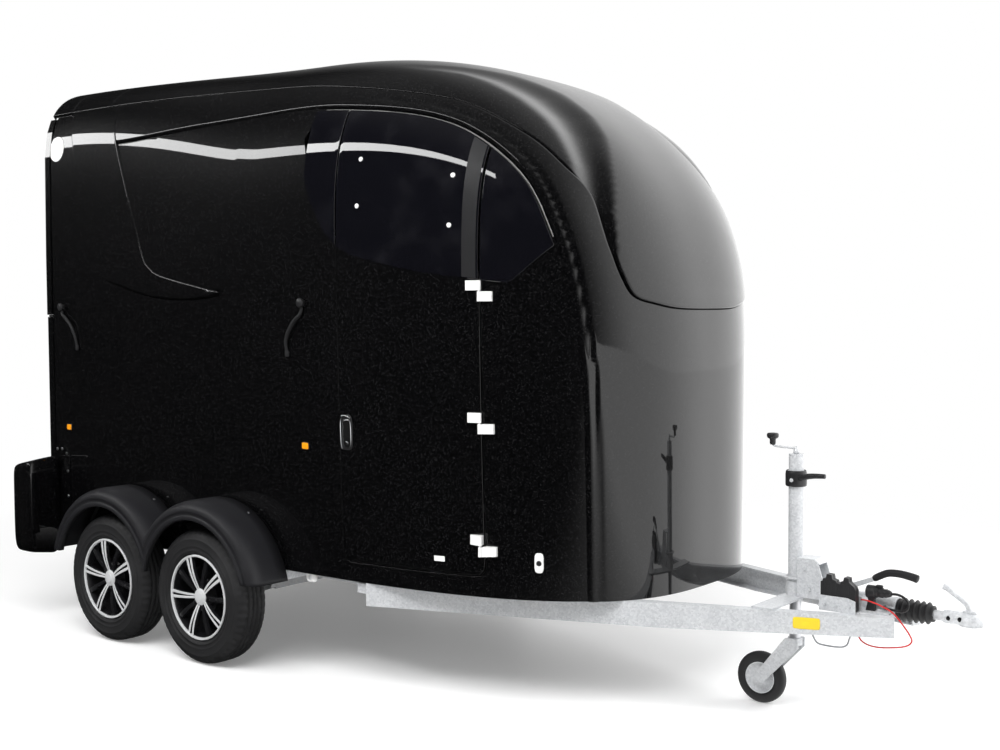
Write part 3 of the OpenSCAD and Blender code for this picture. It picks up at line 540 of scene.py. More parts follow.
# Body form: half width and height of the moulded body, right side turned to +, in metres
form = {"sillZ": 0.47, "roofZ": 2.875, "tailZ": 2.885, "sillHalf": 0.918, "beltHalf": 0.955, "beltRun": 1.6,
        "tailX": -1.12, "noseX": 2.46, "bendX": 0.62, "crestX": 0.25, "noseZ": 1.2, "kneeShare": 0.62,
        "planE": 2.95, "crestE": 2.9, "tailE": 6.0, "roofE": 3.1,
        "recess": 0.010, "wall": 0.020, "skin": 0.012, "paneStand": 0.005, "pane": 0.0042}


def formPoint(s, t, inset):  # s runs forwards and then round the nose, t up the wall and over the roof
    bend, nose = form["bendX"], form["noseX"]
    turn = np.clip(s - bend, 0, math.pi / 2)
    sn, cs = np.sin(turn), np.cos(turn)
    cs = np.where(turn > math.pi / 2 - 1e-9, 0, cs)
    q = (sn ** form["planE"] + cs ** form["planE"]) ** (-1 / form["planE"])
    x = np.where(s > bend, bend + (nose - inset - bend) * q * sn, s)
    wide = np.where(s > bend, q * cs, 1.0)
    ahead = np.clip((x - form["crestX"]) / (nose - inset - form["crestX"]), 0, 1)
    behind = np.clip((form["crestX"] - x) / (form["crestX"] - form["tailX"]), 0, 2)
    top = np.where(x > form["crestX"],
                   form["noseZ"] + (form["roofZ"] - inset - form["noseZ"]) * (1 - ahead ** form["crestE"]) ** (1 / form["crestE"]),
                   form["roofZ"] - inset + (form["tailZ"] - form["roofZ"]) * behind ** 2)
    belt = form["sillHalf"] + (form["beltHalf"] - form["sillHalf"]) * np.clip((x - form["tailX"]) / form["beltRun"], 0, 1)
    knee = form["sillZ"] + form["kneeShare"] * (top - form["sillZ"])
    low = form["sillZ"] + (knee - form["sillZ"]) * np.clip(t * 2, -0.05, 1)
    lowY = belt - (belt - form["sillHalf"]) * np.clip((knee - low) / (knee - form["sillZ"]), 0, 1) ** 1.5 - inset
    blend = np.clip((x - form["tailX"]) / (bend - form["tailX"]), 0, 1)
    e = form["tailE"] + (form["roofE"] - form["tailE"]) * blend * blend * (3 - 2 * blend)
    phi = math.pi / 2 * np.clip(2 - 2 * t, 0, 1)
    sp, cp = np.sin(phi), np.maximum(np.cos(phi), 0)
    r = (sp ** e + cp ** e) ** (-1 / e)
    y = np.where(t < 0.5, lowY, (belt - inset) * r * sp)
    z = np.where(t < 0.5, low, knee + (top - knee) * r * cp)
    return np.column_stack([x, wide * y, z])


def outlineField(points):  # signed distance in the side view, + inside the closed outline
    a = np.array(points, float)
    b = np.roll(a, -1, axis=0)
    d = b - a
    size = np.maximum((d ** 2).sum(1), 1e-12)

    def field(xyz):
        out = np.empty(len(xyz))
        for k in range(0, len(xyz), 4000):
            p = xyz[k:k + 4000][:, (0, 2)]
            rel = p[:, None] - a[None]
            u = np.clip((rel * d).sum(2) / size, 0, 1)
            gap = np.sqrt(((rel - u[..., None] * d) ** 2).sum(2)).min(1)
            crosses = (a[:, 1] > p[:, 1:2]) != (b[:, 1] > p[:, 1:2])
            xAt = a[:, 0] + (p[:, 1:2] - a[:, 1]) * d[:, 0] / np.where(d[:, 1] == 0, 1e-12, d[:, 1])
            inside = (crosses & (p[:, 0:1] < xAt)).sum(1) % 2 == 1
            out[k:k + 4000] = np.where(inside, gap, -gap)
        return out
    return field


def lineField(axis, value, sign=1):
    return lambda xyz: sign * (xyz[:, axis] - value)


def grow(field, amount, sign=1):  # the same outline moved outwards by amount; sign -1 keeps the outside
    return lambda xyz: sign * (field(xyz) + amount)


class Sheet:  # a curved skin, cut to its outline along exact lines and then given its thickness
    def __init__(self, inset, sSpan=(-1.12, form["bendX"] + math.pi / 2), tSpan=(0, 1), cell=0.024):
        self.inset = inset
        straight = np.arange(sSpan[0], min(form["bendX"], sSpan[1]), cell)
        nose = np.linspace(max(form["bendX"], sSpan[0]), sSpan[1], max(2, int((sSpan[1] - max(form["bendX"],
                sSpan[0])) / 0.0125))) \
            if sSpan[1] > form["bendX"] else np.array([sSpan[1]])
        s = np.unique(np.round(np.concatenate([straight, nose]), 9))
        t = np.unique(np.round(np.concatenate([np.linspace(0, 0.5, 60), np.linspace(0.5, 1, 84)]), 9))
        t = t[(t >= tSpan[0] - 1e-9) & (t <= tSpan[1] + 1e-9)]
        gs, gt = np.meshgrid(s, t, indexing="ij")
        self.st = np.column_stack([gs.ravel(), gt.ravel()])
        n = len(t)
        a = (np.arange(len(s) - 1)[:, None] * n + np.arange(n - 1)[None]).ravel()
        self.faces = np.column_stack([a, a + n, a + n + 1, a + 1]).tolist()
        self.depths = []

    def flatAt(self, st):
        return formPoint(st[:, 0], st[:, 1], self.inset)

    def divide(self, field, level=0.0, drop=False):
        g = field(self.flatAt(self.st)) - level
        g = np.where(np.abs(g) < 1e-7, 1e-7, g)
        inside = (g > 0).tolist()
        kept, crossing, edges = [], [], {}
        for f in self.faces:
            marks = [inside[v] for v in f]
            if all(marks):
                kept.append(f)
            elif any(marks):
                crossing.append(f)
                for a, b in zip(f, f[1:] + f[:1]):
                    if inside[a] != inside[b]:
                        edges.setdefault((min(a, b), max(a, b)), len(edges))
            elif not drop:
                kept.append(f)
        if edges:
            pairs = np.array(list(edges))
            p, q = self.st[pairs[:, 0]].copy(), self.st[pairs[:, 1]].copy()
            gp = g[pairs[:, 0]] > 0
            for _ in range(16):
                m = (p + q) / 2
                same = (field(self.flatAt(m)) - level > 0) == gp
                p = np.where(same[:, None], m, p)
                q = np.where(same[:, None], q, m)
            first = len(self.st)
            self.st = np.vstack([self.st, (p + q) / 2])
            for f in crossing:
                ins, outs = [], []
                for a, b in zip(f, f[1:] + f[:1]):
                    (ins if inside[a] else outs).append(a)
                    if inside[a] != inside[b]:
                        v = first + edges[(min(a, b), max(a, b))]
                        ins.append(v)
                        outs.append(v)
                if len(ins) > 2:
                    kept.append(ins)
                if not drop and len(outs) > 2:
                    kept.append(outs)
        self.faces = kept
        return self

    def cut(self, field, edge=0.0):
        self.divide(field, 0, True)
        if edge:
            for share in (0.12, 0.4, 1.0):
                self.divide(field, edge * share)
            self.depths.append(lambda xyz: edge - np.sqrt(np.maximum(edge ** 2 - (edge - np.clip(field(xyz), 0,
                    edge)) ** 2, 0)))
        return self

    def relief(self, depth):  # + is into the body
        self.depths.append(depth)
        return self

    def tidy(self):
        used = sorted({v for f in self.faces for v in f})
        order = {v: k for k, v in enumerate(used)}
        self.faces = [[order[v] for v in f] for f in self.faces]
        self.st = self.st[used]

    def normal(self, st, step=2e-4, shape=None):
        shape = shape or self.flatAt
        ds, dt = np.array([step, 0]), np.array([0, step * 0.4])
        u = shape(st + ds) - shape(st - ds)
        v = shape(st + dt) - shape(st - dt)
        n = np.cross(v, u)
        n /= np.maximum(np.linalg.norm(n, axis=1), 1e-15)[:, None]
        return n

    def full(self, st):
        base = self.flatAt(st)
        if not self.depths:
            return base
        depth = sum(d(base) for d in self.depths)
        n = self.outward(st)
        return base - n * depth[:, None]

    def outward(self, st):
        n = self.normal(np.column_stack([np.clip(st[:, 0], -2, form["bendX"] + math.pi / 2 - 3e-4), np.clip(st[:, 1],
                2e-4, 1 - 2e-4)]))
        return n

    def build(self, name, paint, body, nodes=(), slotName=None, thick=0.02, sides=("right",), inner=1):
        self.tidy()
        self.faces = [f[::-1] for f in self.faces]
        outer = self.full(self.st)
        n = self.normal(np.column_stack([np.clip(self.st[:, 0], -2, form["bendX"] + math.pi / 2 - 4e-4),
                                         np.clip(self.st[:, 1], 3e-4, 1 - 3e-4)]), shape=self.full)
        onAxis = np.abs(outer[:, 1]) < 2e-4
        n[onAxis, 1] = 0
        n /= np.maximum(np.linalg.norm(n, axis=1), 1e-12)[:, None]
        back = formPoint(self.st[:, 0], self.st[:, 1], self.inset + thick)
        flat = self.flatAt(self.st)
        sunk = sum(d(flat) for d in self.depths) if self.depths else np.zeros(len(flat))
        back = back - self.outward(self.st) * np.clip(sunk - thick * 0.5, 0, 1)[:, None]
        count = {}
        for f in self.faces:
            for a, b in zip(f, f[1:] + f[:1]):
                count[(a, b)] = True
        rim = [(a, b) for a, b in count if (b, a) not in count and not (onAxis[a] and onAxis[b])]
        m = len(outer)
        faces = [list(f) for f in self.faces] + [[m + v for v in f[::-1]] for f in self.faces]
        loops = [n[v] for f in self.faces for v in f] + [-n[v] for f in self.faces for v in f[::-1]]
        slots = [0] * len(self.faces) + [inner] * len(self.faces)
        points = np.vstack([outer, back])
        for a, b in rim:
            quad = [b, a, m + a, m + b]
            p = points[quad]
            side = np.cross(p[2] - p[0], p[3] - p[1])
            side /= max(np.linalg.norm(side), 1e-12)
            faces.append(quad)
            loops += [side] * 4
            slots.append(0)
        made = []
        for which in sides:
            flip = -1 if which in ("right", "both") else 1
            pts = points * (1, flip, 1)
            lps = np.array(loops) * (1, flip, 1)
            fcs = faces
            if flip < 0:
                fcs, at, turned = [], 0, []
                for f in faces:
                    fcs.append(f[::-1])
                    turned += list(range(at + len(f) - 1, at - 1, -1))
                    at += len(f)
                lps = lps[turned]
            allSlots = slots
            if which == "both":  # the left half is welded to the right one along the centre plane
                centre = np.abs(points[:, 1]) < 2e-4
                new = np.where(centre, np.arange(len(points)), len(points) + np.cumsum(~centre) - 1)
                pts = np.vstack([pts, points[~centre]])
                fcs = fcs + [[int(new[v]) for v in f] for f in faces]
                lps = np.vstack([lps, np.array(loops)])
                allSlots = slots + slots
            label = name if which == "both" or len(sides) == 1 else name + "_" + which
            target = nodes[sides.index(which)] if nodes and isinstance(nodes[0], (list, tuple)) else nodes
            made.append(meshPiece(label, pts, fcs, paint, body, target, [tuple(v) for v in lps],
                                  faceSlots=allSlots))
        return made


# Outlines in the side view, as (x, z)
archLine = smoothLine([(2.244, 0.2), (2.2445, 0.485), (2.245, 0.86), (2.242, 1.253), (2.228, 1.497), (2.194, 1.757),
                       (2.14, 1.96), (2.023, 2.19), (1.811, 2.375), (1.564, 2.478), (1.2, 2.537), (0.846, 2.56),
                       (0.183, 2.54), (-0.477, 2.513), (-0.74, 2.58), (-0.95, 2.7217)], 10)
archArea = outlineField([(-1.068, 0.2)] + [tuple(p) for p in archLine] + [(-1.068, 2.7217)])
seamLine = smoothLine([(2.6, 1.655), (2.47, 1.655), (2.441, 1.657), (2.414, 1.676), (2.373, 1.709), (2.345, 1.78),
                       (2.306, 1.901), (2.229, 2.113), (2.13, 2.235), (1.98, 2.37), (1.729, 2.511), (1.475, 2.582),
                       (1.074, 2.65), (0.738, 2.69), (0.3, 2.712), (-0.1, 2.72), (-0.596, 2.722), (-1.3, 2.722)], 10)
roofArea = outlineField([(3, 1.655)] + [tuple(p) for p in seamLine] + [(-1.3, 4), (3, 4)])
sweepShape = smoothLine([(-0.925, 2.745), (-0.83, 2.44), (-0.737, 2.217), (-0.636, 1.937), (-0.58, 1.85),
                         (-0.506, 1.805), (-0.165, 1.73), (0.156, 1.712), (0.452, 1.741)], 8)
sweepBack = smoothLine([(0.452, 1.741), (0.237, 1.777), (-0.08, 1.84), (-0.18, 1.885), (-0.241, 1.96),
                        (-0.361, 2.271), (-0.47, 2.56), (-0.53, 2.745)], 8)
sweepArea = outlineField([tuple(p) for p in sweepShape] + [tuple(p) for p in sweepBack[1:]])
glassArea = outlineField([(1.06, 2.75), (0.952, 2.539), (0.884, 2.421), (0.93, 2.29), (1.0, 2.125), (1.075, 2.005),
                          (1.15, 1.935),
                          (1.23, 1.897), (1.32, 1.872), (1.547, 1.823), (1.735, 1.795), (1.97, 1.766), (1.995, 1.770),
                          (2.15, 1.917), (2.3, 2.0), (2.3, 2.8)])
doorGap = 0.003


def doorOutline(gap, r=0.04):
    x0, x1, z0 = 1.147 + gap, 1.866 - gap, 0.556 + gap
    corner = lambda cx, cz, a0: [(cx + r * math.cos(math.radians(a)), cz + r * math.sin(math.radians(a)))
                                 for a in range(a0, a0 + 91, 15)]
    return [(x0, 3.2)] + corner(x0 + r, z0 + r, 180) + corner(x1 - r, z0 + r, 270) + [(x1, 3.2)]


def near(points, width, depth):  # a soft groove or ridge along a line of surface points; width and depth per point
    p = np.array(points, float)
    w, h = np.array(width, float), np.array(depth, float)

    def dig(xyz):
        q = np.abs(xyz * (0, 1, 0)) + xyz * (1, 0, 1)
        a, d = p[:-1], p[1:] - p[:-1]
        rel = q[:, None] - a[None]
        u = np.clip((rel * d).sum(2) / (d ** 2).sum(1), 0, 1)
        gap = np.sqrt(((rel - u[..., None] * d) ** 2).sum(2))
        k = gap.argmin(1)
        row = np.arange(len(q))
        at = u[row, k]
        wide = w[k] * (1 - at) + w[k + 1] * at
        deep = h[k] * (1 - at) + h[k + 1] * at
        share = np.clip(gap[row, k] / wide, 0, 1)
        return deep * (1 - share ** 2) ** 2
    return dig


def onForm(x, y, inset=0.0):  # height of the roof at x and |y|
    s = x if x < form["bendX"] else None
    if s is None:
        a = (x - form["bendX"]) / (form["noseX"] - inset - form["bendX"])
        w = max(1e-9, 1 - a ** form["planE"]) ** (1 / form["planE"])
        s = form["bendX"] + math.atan2(a, w)
    t = np.linspace(0.5, 1, 400)
    p = formPoint(np.full(400, s), t, inset)
    return float(np.interp(y, p[::-1, 1], p[::-1, 2]))


bodySkin = {"edge": 0.006, "capJoint": -0.925, "capFront": -0.59, "seamGap": 0.0012, "valleyDepth": 0.034}
valley = [(1.2, 0.575, 0.035, 0.0), (1.35, 0.56, 0.05, 0.05), (1.53, 0.49, 0.075, 0.2), (1.69, 0.43, 0.13, 0.5),
          (1.87, 0.395, 0.165, 0.85),
          (2.0, 0.40, 0.16, 1.0), (2.08, 0.425, 0.145, 1.05), (2.18, 0.485, 0.105, 1.0), (2.25, 0.55, 0.085, 0.95),
          (2.30, 0.585, 0.07, 0.8), (2.345, 0.565, 0.055, 0.6), (2.373, 0.49, 0.045, 0.45)]
valleyDig = near([(x, y, onForm(x, y)) for x, y, w, d in valley], [v[2] for v in valley],
                 [v[3] * bodySkin["valleyDepth"] for v in valley])


def archLip(xyz):  # the band beside the arch: a narrow groove along its front, and a rolled edge
    g = -archArea(xyz)
    front = np.clip((xyz[:, 0] - 1.0) / 0.6, 0, 1)
    return front * 0.0035 * np.exp(-((g - 0.04) / 0.0075) ** 2)


def visorRise(xyz):  # the hood swells towards its lower lip
    g = roofArea(xyz)
    ahead = np.clip((xyz[:, 0] - 2.2) / 0.15, 0, 1)
    return -ahead * 0.010 * np.exp(-(g / 0.09) ** 2)


def makeBody():
    e = bodySkin["edge"]
    gap = bodySkin["seamGap"]
    recess, wall, skin = form["recess"], form["wall"], form["skin"]
    coats = [paints["body"], paints["inner"]]
    wallEdges = lambda sheet: (sheet.cut(grow(archArea, -gap), e * 0.5).cut(grow(sweepArea, gap, -1)))
    right = wallEdges(Sheet(recess))
    door = outlineField(doorOutline(0))
    right.cut(grow(door, doorGap / 2, -1), e * 0.5)
    right.cut(grow(glassArea, -0.032, -1))
    right.build("wall_right_skin", coats, "trailer", ["wall_right"], "body_gloss", wall)
    left = wallEdges(Sheet(recess))
    left.cut(grow(glassArea, -0.032, -1))
    left.build("wall_left_skin", coats, "trailer", ["wall_left"], "body_gloss", wall, sides=("left",))
    panel = Sheet(recess).cut(outlineField(doorOutline(doorGap / 2 + 0.0015)), e * 0.6).cut(grow(archArea, -0.005),
            e * 0.6)
    panel.cut(grow(glassArea, -0.032, -1))
    panel.build("door_skin", coats, "door", ["door_panel"], "body_gloss", wall)
    sweep = Sheet(0, (-1.0, form["bendX"])).cut(grow(sweepArea, -gap), 0.014).cut(grow(roofArea, gap, -1), e * 0.6)
    sweep.build("sweep", coats, "trailer", [["swoosh_right"], ["swoosh_left"]], "body_gloss", recess + wall,
                sides=("right", "left"))
    nose = Sheet(0, (-0.53, form["bendX"] + math.pi / 2)).cut(grow(archArea, gap * 0.3, -1), 0.02).cut(grow(roofArea,
            gap, -1), e)
    nose.cut(grow(sweepArea, gap, -1)).relief(archLip)
    nose.build("nose_band", coats, "trailer", ["nose_shell"], "body_gloss", skin, sides=("both",))
    roof = Sheet(0, (-0.62, form["bendX"] + math.pi / 2), (0.45, 1)).cut(roofArea, e).cut(lineField(0,
            -0.59 + 0.0015), e * 0.7)
    roof.relief(valleyDig).relief(visorRise)
    roof.build("roof_skin", coats, "trailer", ["roof_shell"], "body_gloss", skin, sides=("both",))
    print("body skins built")


def makeGlass():
    inset = form["paneStand"]
    paneEdge = 0.002
    pane = lambda low, high: (Sheet(inset, (0.8, form["bendX"] + 1.4), (0.3, 1)).cut(grow(archArea, -0.012), paneEdge)
                              .cut(glassArea, paneEdge).cut(lineField(0, low), paneEdge).cut(lineField(0, high, -1),
                                      paneEdge))
    coats = [paints["glass"], paints["glass"]]
    pane(0.5, 1.144).build("pane_rear", coats, "trailer", ["window_rear_right"], "tinted_glass", form["pane"])
    pane(1.869, 2.6).build("pane_front", coats, "trailer", ["window_front_right"], "tinted_glass", form["pane"])
    pane(1.153, 1.86).build("pane_door", coats, "door", ["door_window"], "tinted_glass", form["pane"])
    pane(0.5, 2.6).build("pane_left", coats, "trailer", ["window_left"], "tinted_glass", form["pane"], sides=("left",))
    print("glass built")


makeBody()
makeGlass()


# Small parts. A local frame on the side of the body: forwards, up, outwards
def sideProfile(x, inset):
    s = x
    if x > form["bendX"]:
        a = min(1 - 1e-9, (x - form["bendX"]) / (form["noseX"] - inset - form["bendX"]))
        s = form["bendX"] + math.atan2(a, (1 - a ** form["planE"]) ** (1 / form["planE"]))
    t = np.linspace(0, 1, 900)
    return formPoint(np.full(900, s), t, inset)


def sideY(x, z, inset=0.0):
    p = sideProfile(x, inset)
    return float(np.interp(z, p[:, 2], p[:, 1]))


def onSide(x, z, inset=0.0, side=-1):
    y = sideY(x, z, inset)
    dx = (sideY(x + 0.015, z, inset) - sideY(x - 0.015, z, inset)) / 0.03
    dz = (sideY(x, z + 0.015, inset) - sideY(x, z - 0.015, inset)) / 0.03
    along = Vector((1, side * dx, 0)).normalized() * (-side)
    up = Vector((0, side * dz, 1))
    up = (up - up.dot(along) * along).normalized()
    turn = Matrix((along, up, along.cross(up))).transposed().to_4x4()
    return Matrix.Translation((x, side * y, z)) @ turn


def superBox(bits, centre, half, e=6, steps=(20, 28), slotIndex=0, frame=None, warp=None):  # a block with rounded edges
    points, faces = [], []
    rows, cols = steps
    for i in range(rows + 1):
        a = -math.pi / 2 + math.pi * i / rows
        ca, sa = math.cos(a), math.sin(a)
        q = (abs(ca) ** e + abs(sa) ** e) ** (-1 / e)
        for k in range(cols):
            b = 2 * math.pi * k / cols
            cb, sb = math.cos(b), math.sin(b)
            w = (abs(cb) ** e + abs(sb) ** e) ** (-1 / e)
            p = Vector((q * ca * w * cb * half[0], q * ca * w * sb * half[1], q * sa * half[2]))
            if warp:
                p = warp(p)
            p = Vector(centre) + p
            points.append(frame @ p if frame else p)
    for i in range(rows):
        for k in range(cols):
            m = (k + 1) % cols
            faces.append((i * cols + k, i * cols + m, (i + 1) * cols + m, (i + 1) * cols + k))
    faces.append(list(range(cols))[::-1])
    faces.append([rows * cols + k for k in range(cols)])
    bits.add(points, faces, slotIndex)


def knob(bits, frame, profile, slotIndex=0, steps=24):
    bits.lathe(profile, frame @ Vector((0, 0, 0)), frame.to_3x3() @ Vector((0, 0, 1)), steps, slotIndex)


def hexHead(bits, centre, axis, r=0.008, h=0.006, slotIndex=0):
    bits.lathe([(r * 1.25, 0), (r * 1.25, h * 0.25), (r * 0.9, h * 0.3), (r, h * 0.32), (r, h * 0.9), (r * 0.8, h)],
               centre, axis, 6, slotIndex)


wheel = {"radius": 0.3175, "face": 1.090, "width": 0.178, "proud": 0.008,
         "spokes": 5, "spokeEnd": 0.192, "treadSteps": 216}


def makeTyre(name, x, side):
    w = wheel["width"]
    half = [(0.2035, -0.013), (0.2072, -0.006), (0.2125, -0.001), (0.217, 0.0005), (0.2185, 0.003), (0.222, 0.0034),
            (0.2235, 0.0015),
            (0.238, 0.0062), (0.2395, 0.0072), (0.2425, 0.0073), (0.244, 0.0066), (0.258, 0.0078), (0.272,
                    0.0068), (0.2735, 0.0074),
            (0.2755, 0.0071), (0.277, 0.0055), (0.288, 0.0015), (0.298, -0.0045), (0.3065, -0.0125), (0.3115, -0.0205),
            (0.3145, -0.0275), (0.3155, -0.033)]
    tread = []
    for centre in (0.044, 0.070):
        tread += [(0.3165, -centre + 0.0042), (0.3108, -centre + 0.0034), (0.3108, -centre - 0.0034), (0.3169,
                -centre - 0.0042)]
    tread.append((0.3175, -w / 2 + wheel["proud"]))
    mirror = lambda row: [(r, -w + 2 * wheel["proud"] - h) for r, h in row][::-1]
    profile = half + tread + mirror(half + tread[:-1]) + [(0.199, -w + 0.03), (0.199, -0.03)]
    n, steps = len(profile), wheel["treadSteps"]
    last = len(half) + len(tread) * 2 - 1
    points, faces = [], []
    for k in range(steps):
        a = 2 * math.pi * k / steps
        for j, (r, h) in enumerate(profile):
            shoulder = 17 <= j <= len(half) or last - 1 <= j <= last + 4
            centreRow = len(half) < j < last
            if shoulder and k % 4 == 0:
                r -= 0.0055
            elif centreRow and r > 0.315 and (k + int(h * 160)) % 6 == 0:
                r -= 0.004
            points.append((x + r * math.cos(a), side * (wheel["face"] + h), wheel["radius"] + r * math.sin(a)))
    for k in range(steps):
        m = (k + 1) % steps
        for j in range(n):
            i = (j + 1) % n
            f = (k * n + j, k * n + i, m * n + i, m * n + j)
            faces.append(f if side < 0 else f[::-1])
    meshPiece(name + "_tread", points, faces, paints["tyre"], "wheel_" + name[5:], [name])


def makeRim(name, x, side, turn):
    bits = Bits()
    centre = Vector((x, side * wheel["face"], wheel["radius"]))
    out = Vector((0, side, 0))
    bright, dark = 0, 1
    bits.lathe([(0.1885, -0.010), (0.1905, -0.0015), (0.1935, 0.0), (0.1985, 0.0), (0.2005, -0.0018), (0.2008,
            -0.007)], centre, out, 96, bright, caps=False)
    bits.lathe([(0.2008, -0.0065), (0.2068, -0.0065), (0.2075, -0.010), (0.2005, -0.014), (0.200, -0.150), (0.2065,
            -0.152), (0.2065, -0.160),
                (0.196, -0.160), (0.190, -0.150), (0.181, -0.120), (0.1785, -0.070), (0.1795, -0.040), (0.1855,
                        -0.018), (0.1885, -0.0095)],
               centre, out, 96, dark, caps=False)
    bits.lathe([(0.0, -0.060), (0.075, -0.058), (0.085, -0.050), (0.070, -0.034), (0.060, -0.026), (0.040, -0.020),
                (0.0, -0.018)], centre, out, 48, dark)

    def blade(angle, r0, r1, w0, w1, top0, top1, deep, slotTop, offset0=0.0, offset1=0.0):
        cosA, sinA = math.cos(angle), math.sin(angle)
        along = Vector((cosA, 0, sinA))
        across = Vector((-sinA, 0, cosA))
        rows = 7
        pts, fcs = [], []
        for i in range(rows):
            u = i / (rows - 1)
            r = r0 + (r1 - r0) * u
            wide = w0 + (w1 - w0) * u
            lift = top0 + (top1 - top0) * u + 0.010 * math.sin(math.pi * u)
            mid = offset0 + (offset1 - offset0) * u
            for v, drop in ((-1.25, deep), (-1.0, 0.0012), (-0.8, 0), (0.8, 0), (1.0, 0.0012), (1.25, deep)):
                pts.append(centre + along * r + across * (mid + v * wide / 2) + out * (lift - drop))
        for i in range(rows - 1):
            for j in range(5):
                fcs.append((i * 6 + j, i * 6 + j + 1, (i + 1) * 6 + j + 1, (i + 1) * 6 + j))
            fcs.append((i * 6 + 5, i * 6, (i + 1) * 6, (i + 1) * 6 + 5))
        fcs += [[0, 5, 4, 3, 2, 1], [(rows - 1) * 6 + j for j in range(6)]]
        if side > 0:
            fcs = [f[::-1] for f in fcs]
        base = len(bits.faces)
        bits.add(pts, fcs, dark)
        for i in range(rows - 1):
            for j in (1, 2, 3):
                bits.slots[base + i * 6 + j] = slotTop

    for k in range(wheel["spokes"]):
        a = math.radians(turn + 72 * k)
        for s in (-1, 1):
            blade(a, 0.028, wheel["spokeEnd"], 0.009, 0.0145, -0.020, -0.003, 0.018, bright, s * 0.0052, s * 0.0135)
        blade(a + math.radians(36), 0.030, 0.186, 0.016, 0.022, -0.026, -0.014, 0.018, dark)
        blade(a + math.radians(36), 0.060, 0.180, 0.004, 0.006, -0.0235, -0.0115, 0.004, dark)
        lug = centre + Vector((math.cos(a + math.radians(36)), 0, math.sin(a + math.radians(36)))) * 0.054 + out * -0.024
        bits.lathe([(0.0125, -0.012), (0.0125, 0.004), (0.010, 0.004), (0.010, -0.002), (0.0085, -0.002), (0.0085,
                0.007), (0.006, 0.010), (0.0, 0.011)],
                   lug, out, 12, 1)
    bits.lathe([(0.041, -0.030), (0.0405, -0.020), (0.038, -0.0155), (0.033, -0.0125), (0.0, -0.0095)], centre, out,
               60, bright)
    bits.lathe([(0.025, -0.0128), (0.0245, -0.0098), (0.022, -0.0088), (0.0, -0.0082)], centre, out, 40, bright)
    bits.lathe([(0.035, -0.17), (0.045, -0.165), (0.045, -0.06), (0.0, -0.055)], centre, out, 32, dark)
    bits.lathe([(0.0, -0.152), (0.19, -0.150), (0.19, -0.146), (0.0, -0.148)], centre, out, 48, dark)
    made = meshPiece(name + "_alloy", bits.points, bits.faces, [paints["bright"], paints["dark"], paints["steel"]],
                     "wheel_" + name[4:], [name], faceSlots=bits.slots)
    softEdges(made, 0.0008, 1, 40)


for end, x in (("front", 0.357), ("rear", -0.357)):
    for hand, side in (("right", -1), ("left", 1)):
        makeTyre("tyre_%s_%s" % (end, hand), x, side)
        makeRim("rim_%s_%s" % (end, hand), x, side, 37 if end == "front" else 27)
print("wheels built")


guard = {"lowZ": 0.4255, "thick": 0.004,
         "profile": [(0.3665, 1.106), (0.367, 1.126), (0.3695, 1.1305), (0.374, 1.1315), (0.3875, 1.1315), (0.3895,
                 1.1285),
                     (0.3915, 1.1278), (0.402, 1.1278), (0.404, 1.1288), (0.4055, 1.1305), (0.413, 1.1295), (0.424,
                             1.1255), (0.435, 1.117),
                     (0.4445, 1.104), (0.451, 1.086), (0.4548, 1.064), (0.456, 1.04), (0.456, 0.985), (0.456, 0.922)]}


def makeGuard(name, side):
    bits = Bits()
    for hand in (-1, 1):           # rear wheel, front wheel; each sweep ends at the plane between them
        points, faces = [], []
        n, steps = len(guard["profile"]), 56
        for k in range(steps + 1):
            u = k / steps
            for r, y in guard["profile"]:
                low = math.asin((guard["lowZ"] - wheel["radius"]) / r)
                end = math.pi - math.acos(min(1, 0.357 / r)) if r > 0.357 else math.pi
                a = low + (end - low) * u
                points.append((hand * (0.357 + r * math.cos(a)), side * y, wheel["radius"] + r * math.sin(a)))
        for k in range(steps):
            for j in range(n - 1):
                f = (k * n + j, k * n + j + 1, (k + 1) * n + j + 1, (k + 1) * n + j)
                faces.append(f if (hand > 0) == (side < 0) else f[::-1])
        bits.add(points, faces)
    made = meshPiece(name + "_moulding", bits.points, bits.faces, paints["guard"], "trailer", [name])
    solid = made.modifiers.new("thickness", "SOLIDIFY")
    solid.thickness = guard["thick"]
    solid.offset = -1
    weld = made.modifiers.new("joined", "WELD")
    weld.merge_threshold = 0.0004
    extra = Bits()
    for hand in (-1, 1):           # screws on the crown
        for a in (62, 118):
            rise = math.radians(a)
            spot = Vector((hand * (0.357 + 0.457 * math.cos(rise)), side * 0.955,
                           wheel["radius"] + 0.4565 * math.sin(rise)))
            hexHead(extra, spot, (hand * math.cos(rise), 0, math.sin(rise)), 0.006, 0.004)
    extra.piece(name + "_screws", paints["steel"], slotName="zinc", edge=0)


makeGuard("mudguard_right", -1)
makeGuard("mudguard_left", 1)
print("mudguards built")


# Rear corner pods with their round lamps
pod = {"low": 0.345, "high": 0.890, "back": -1.174, "front": -1.010, "out": 1.115, "in": 0.9155, "flange": (-1.066,
        -0.936, 0.48, 0.935)}


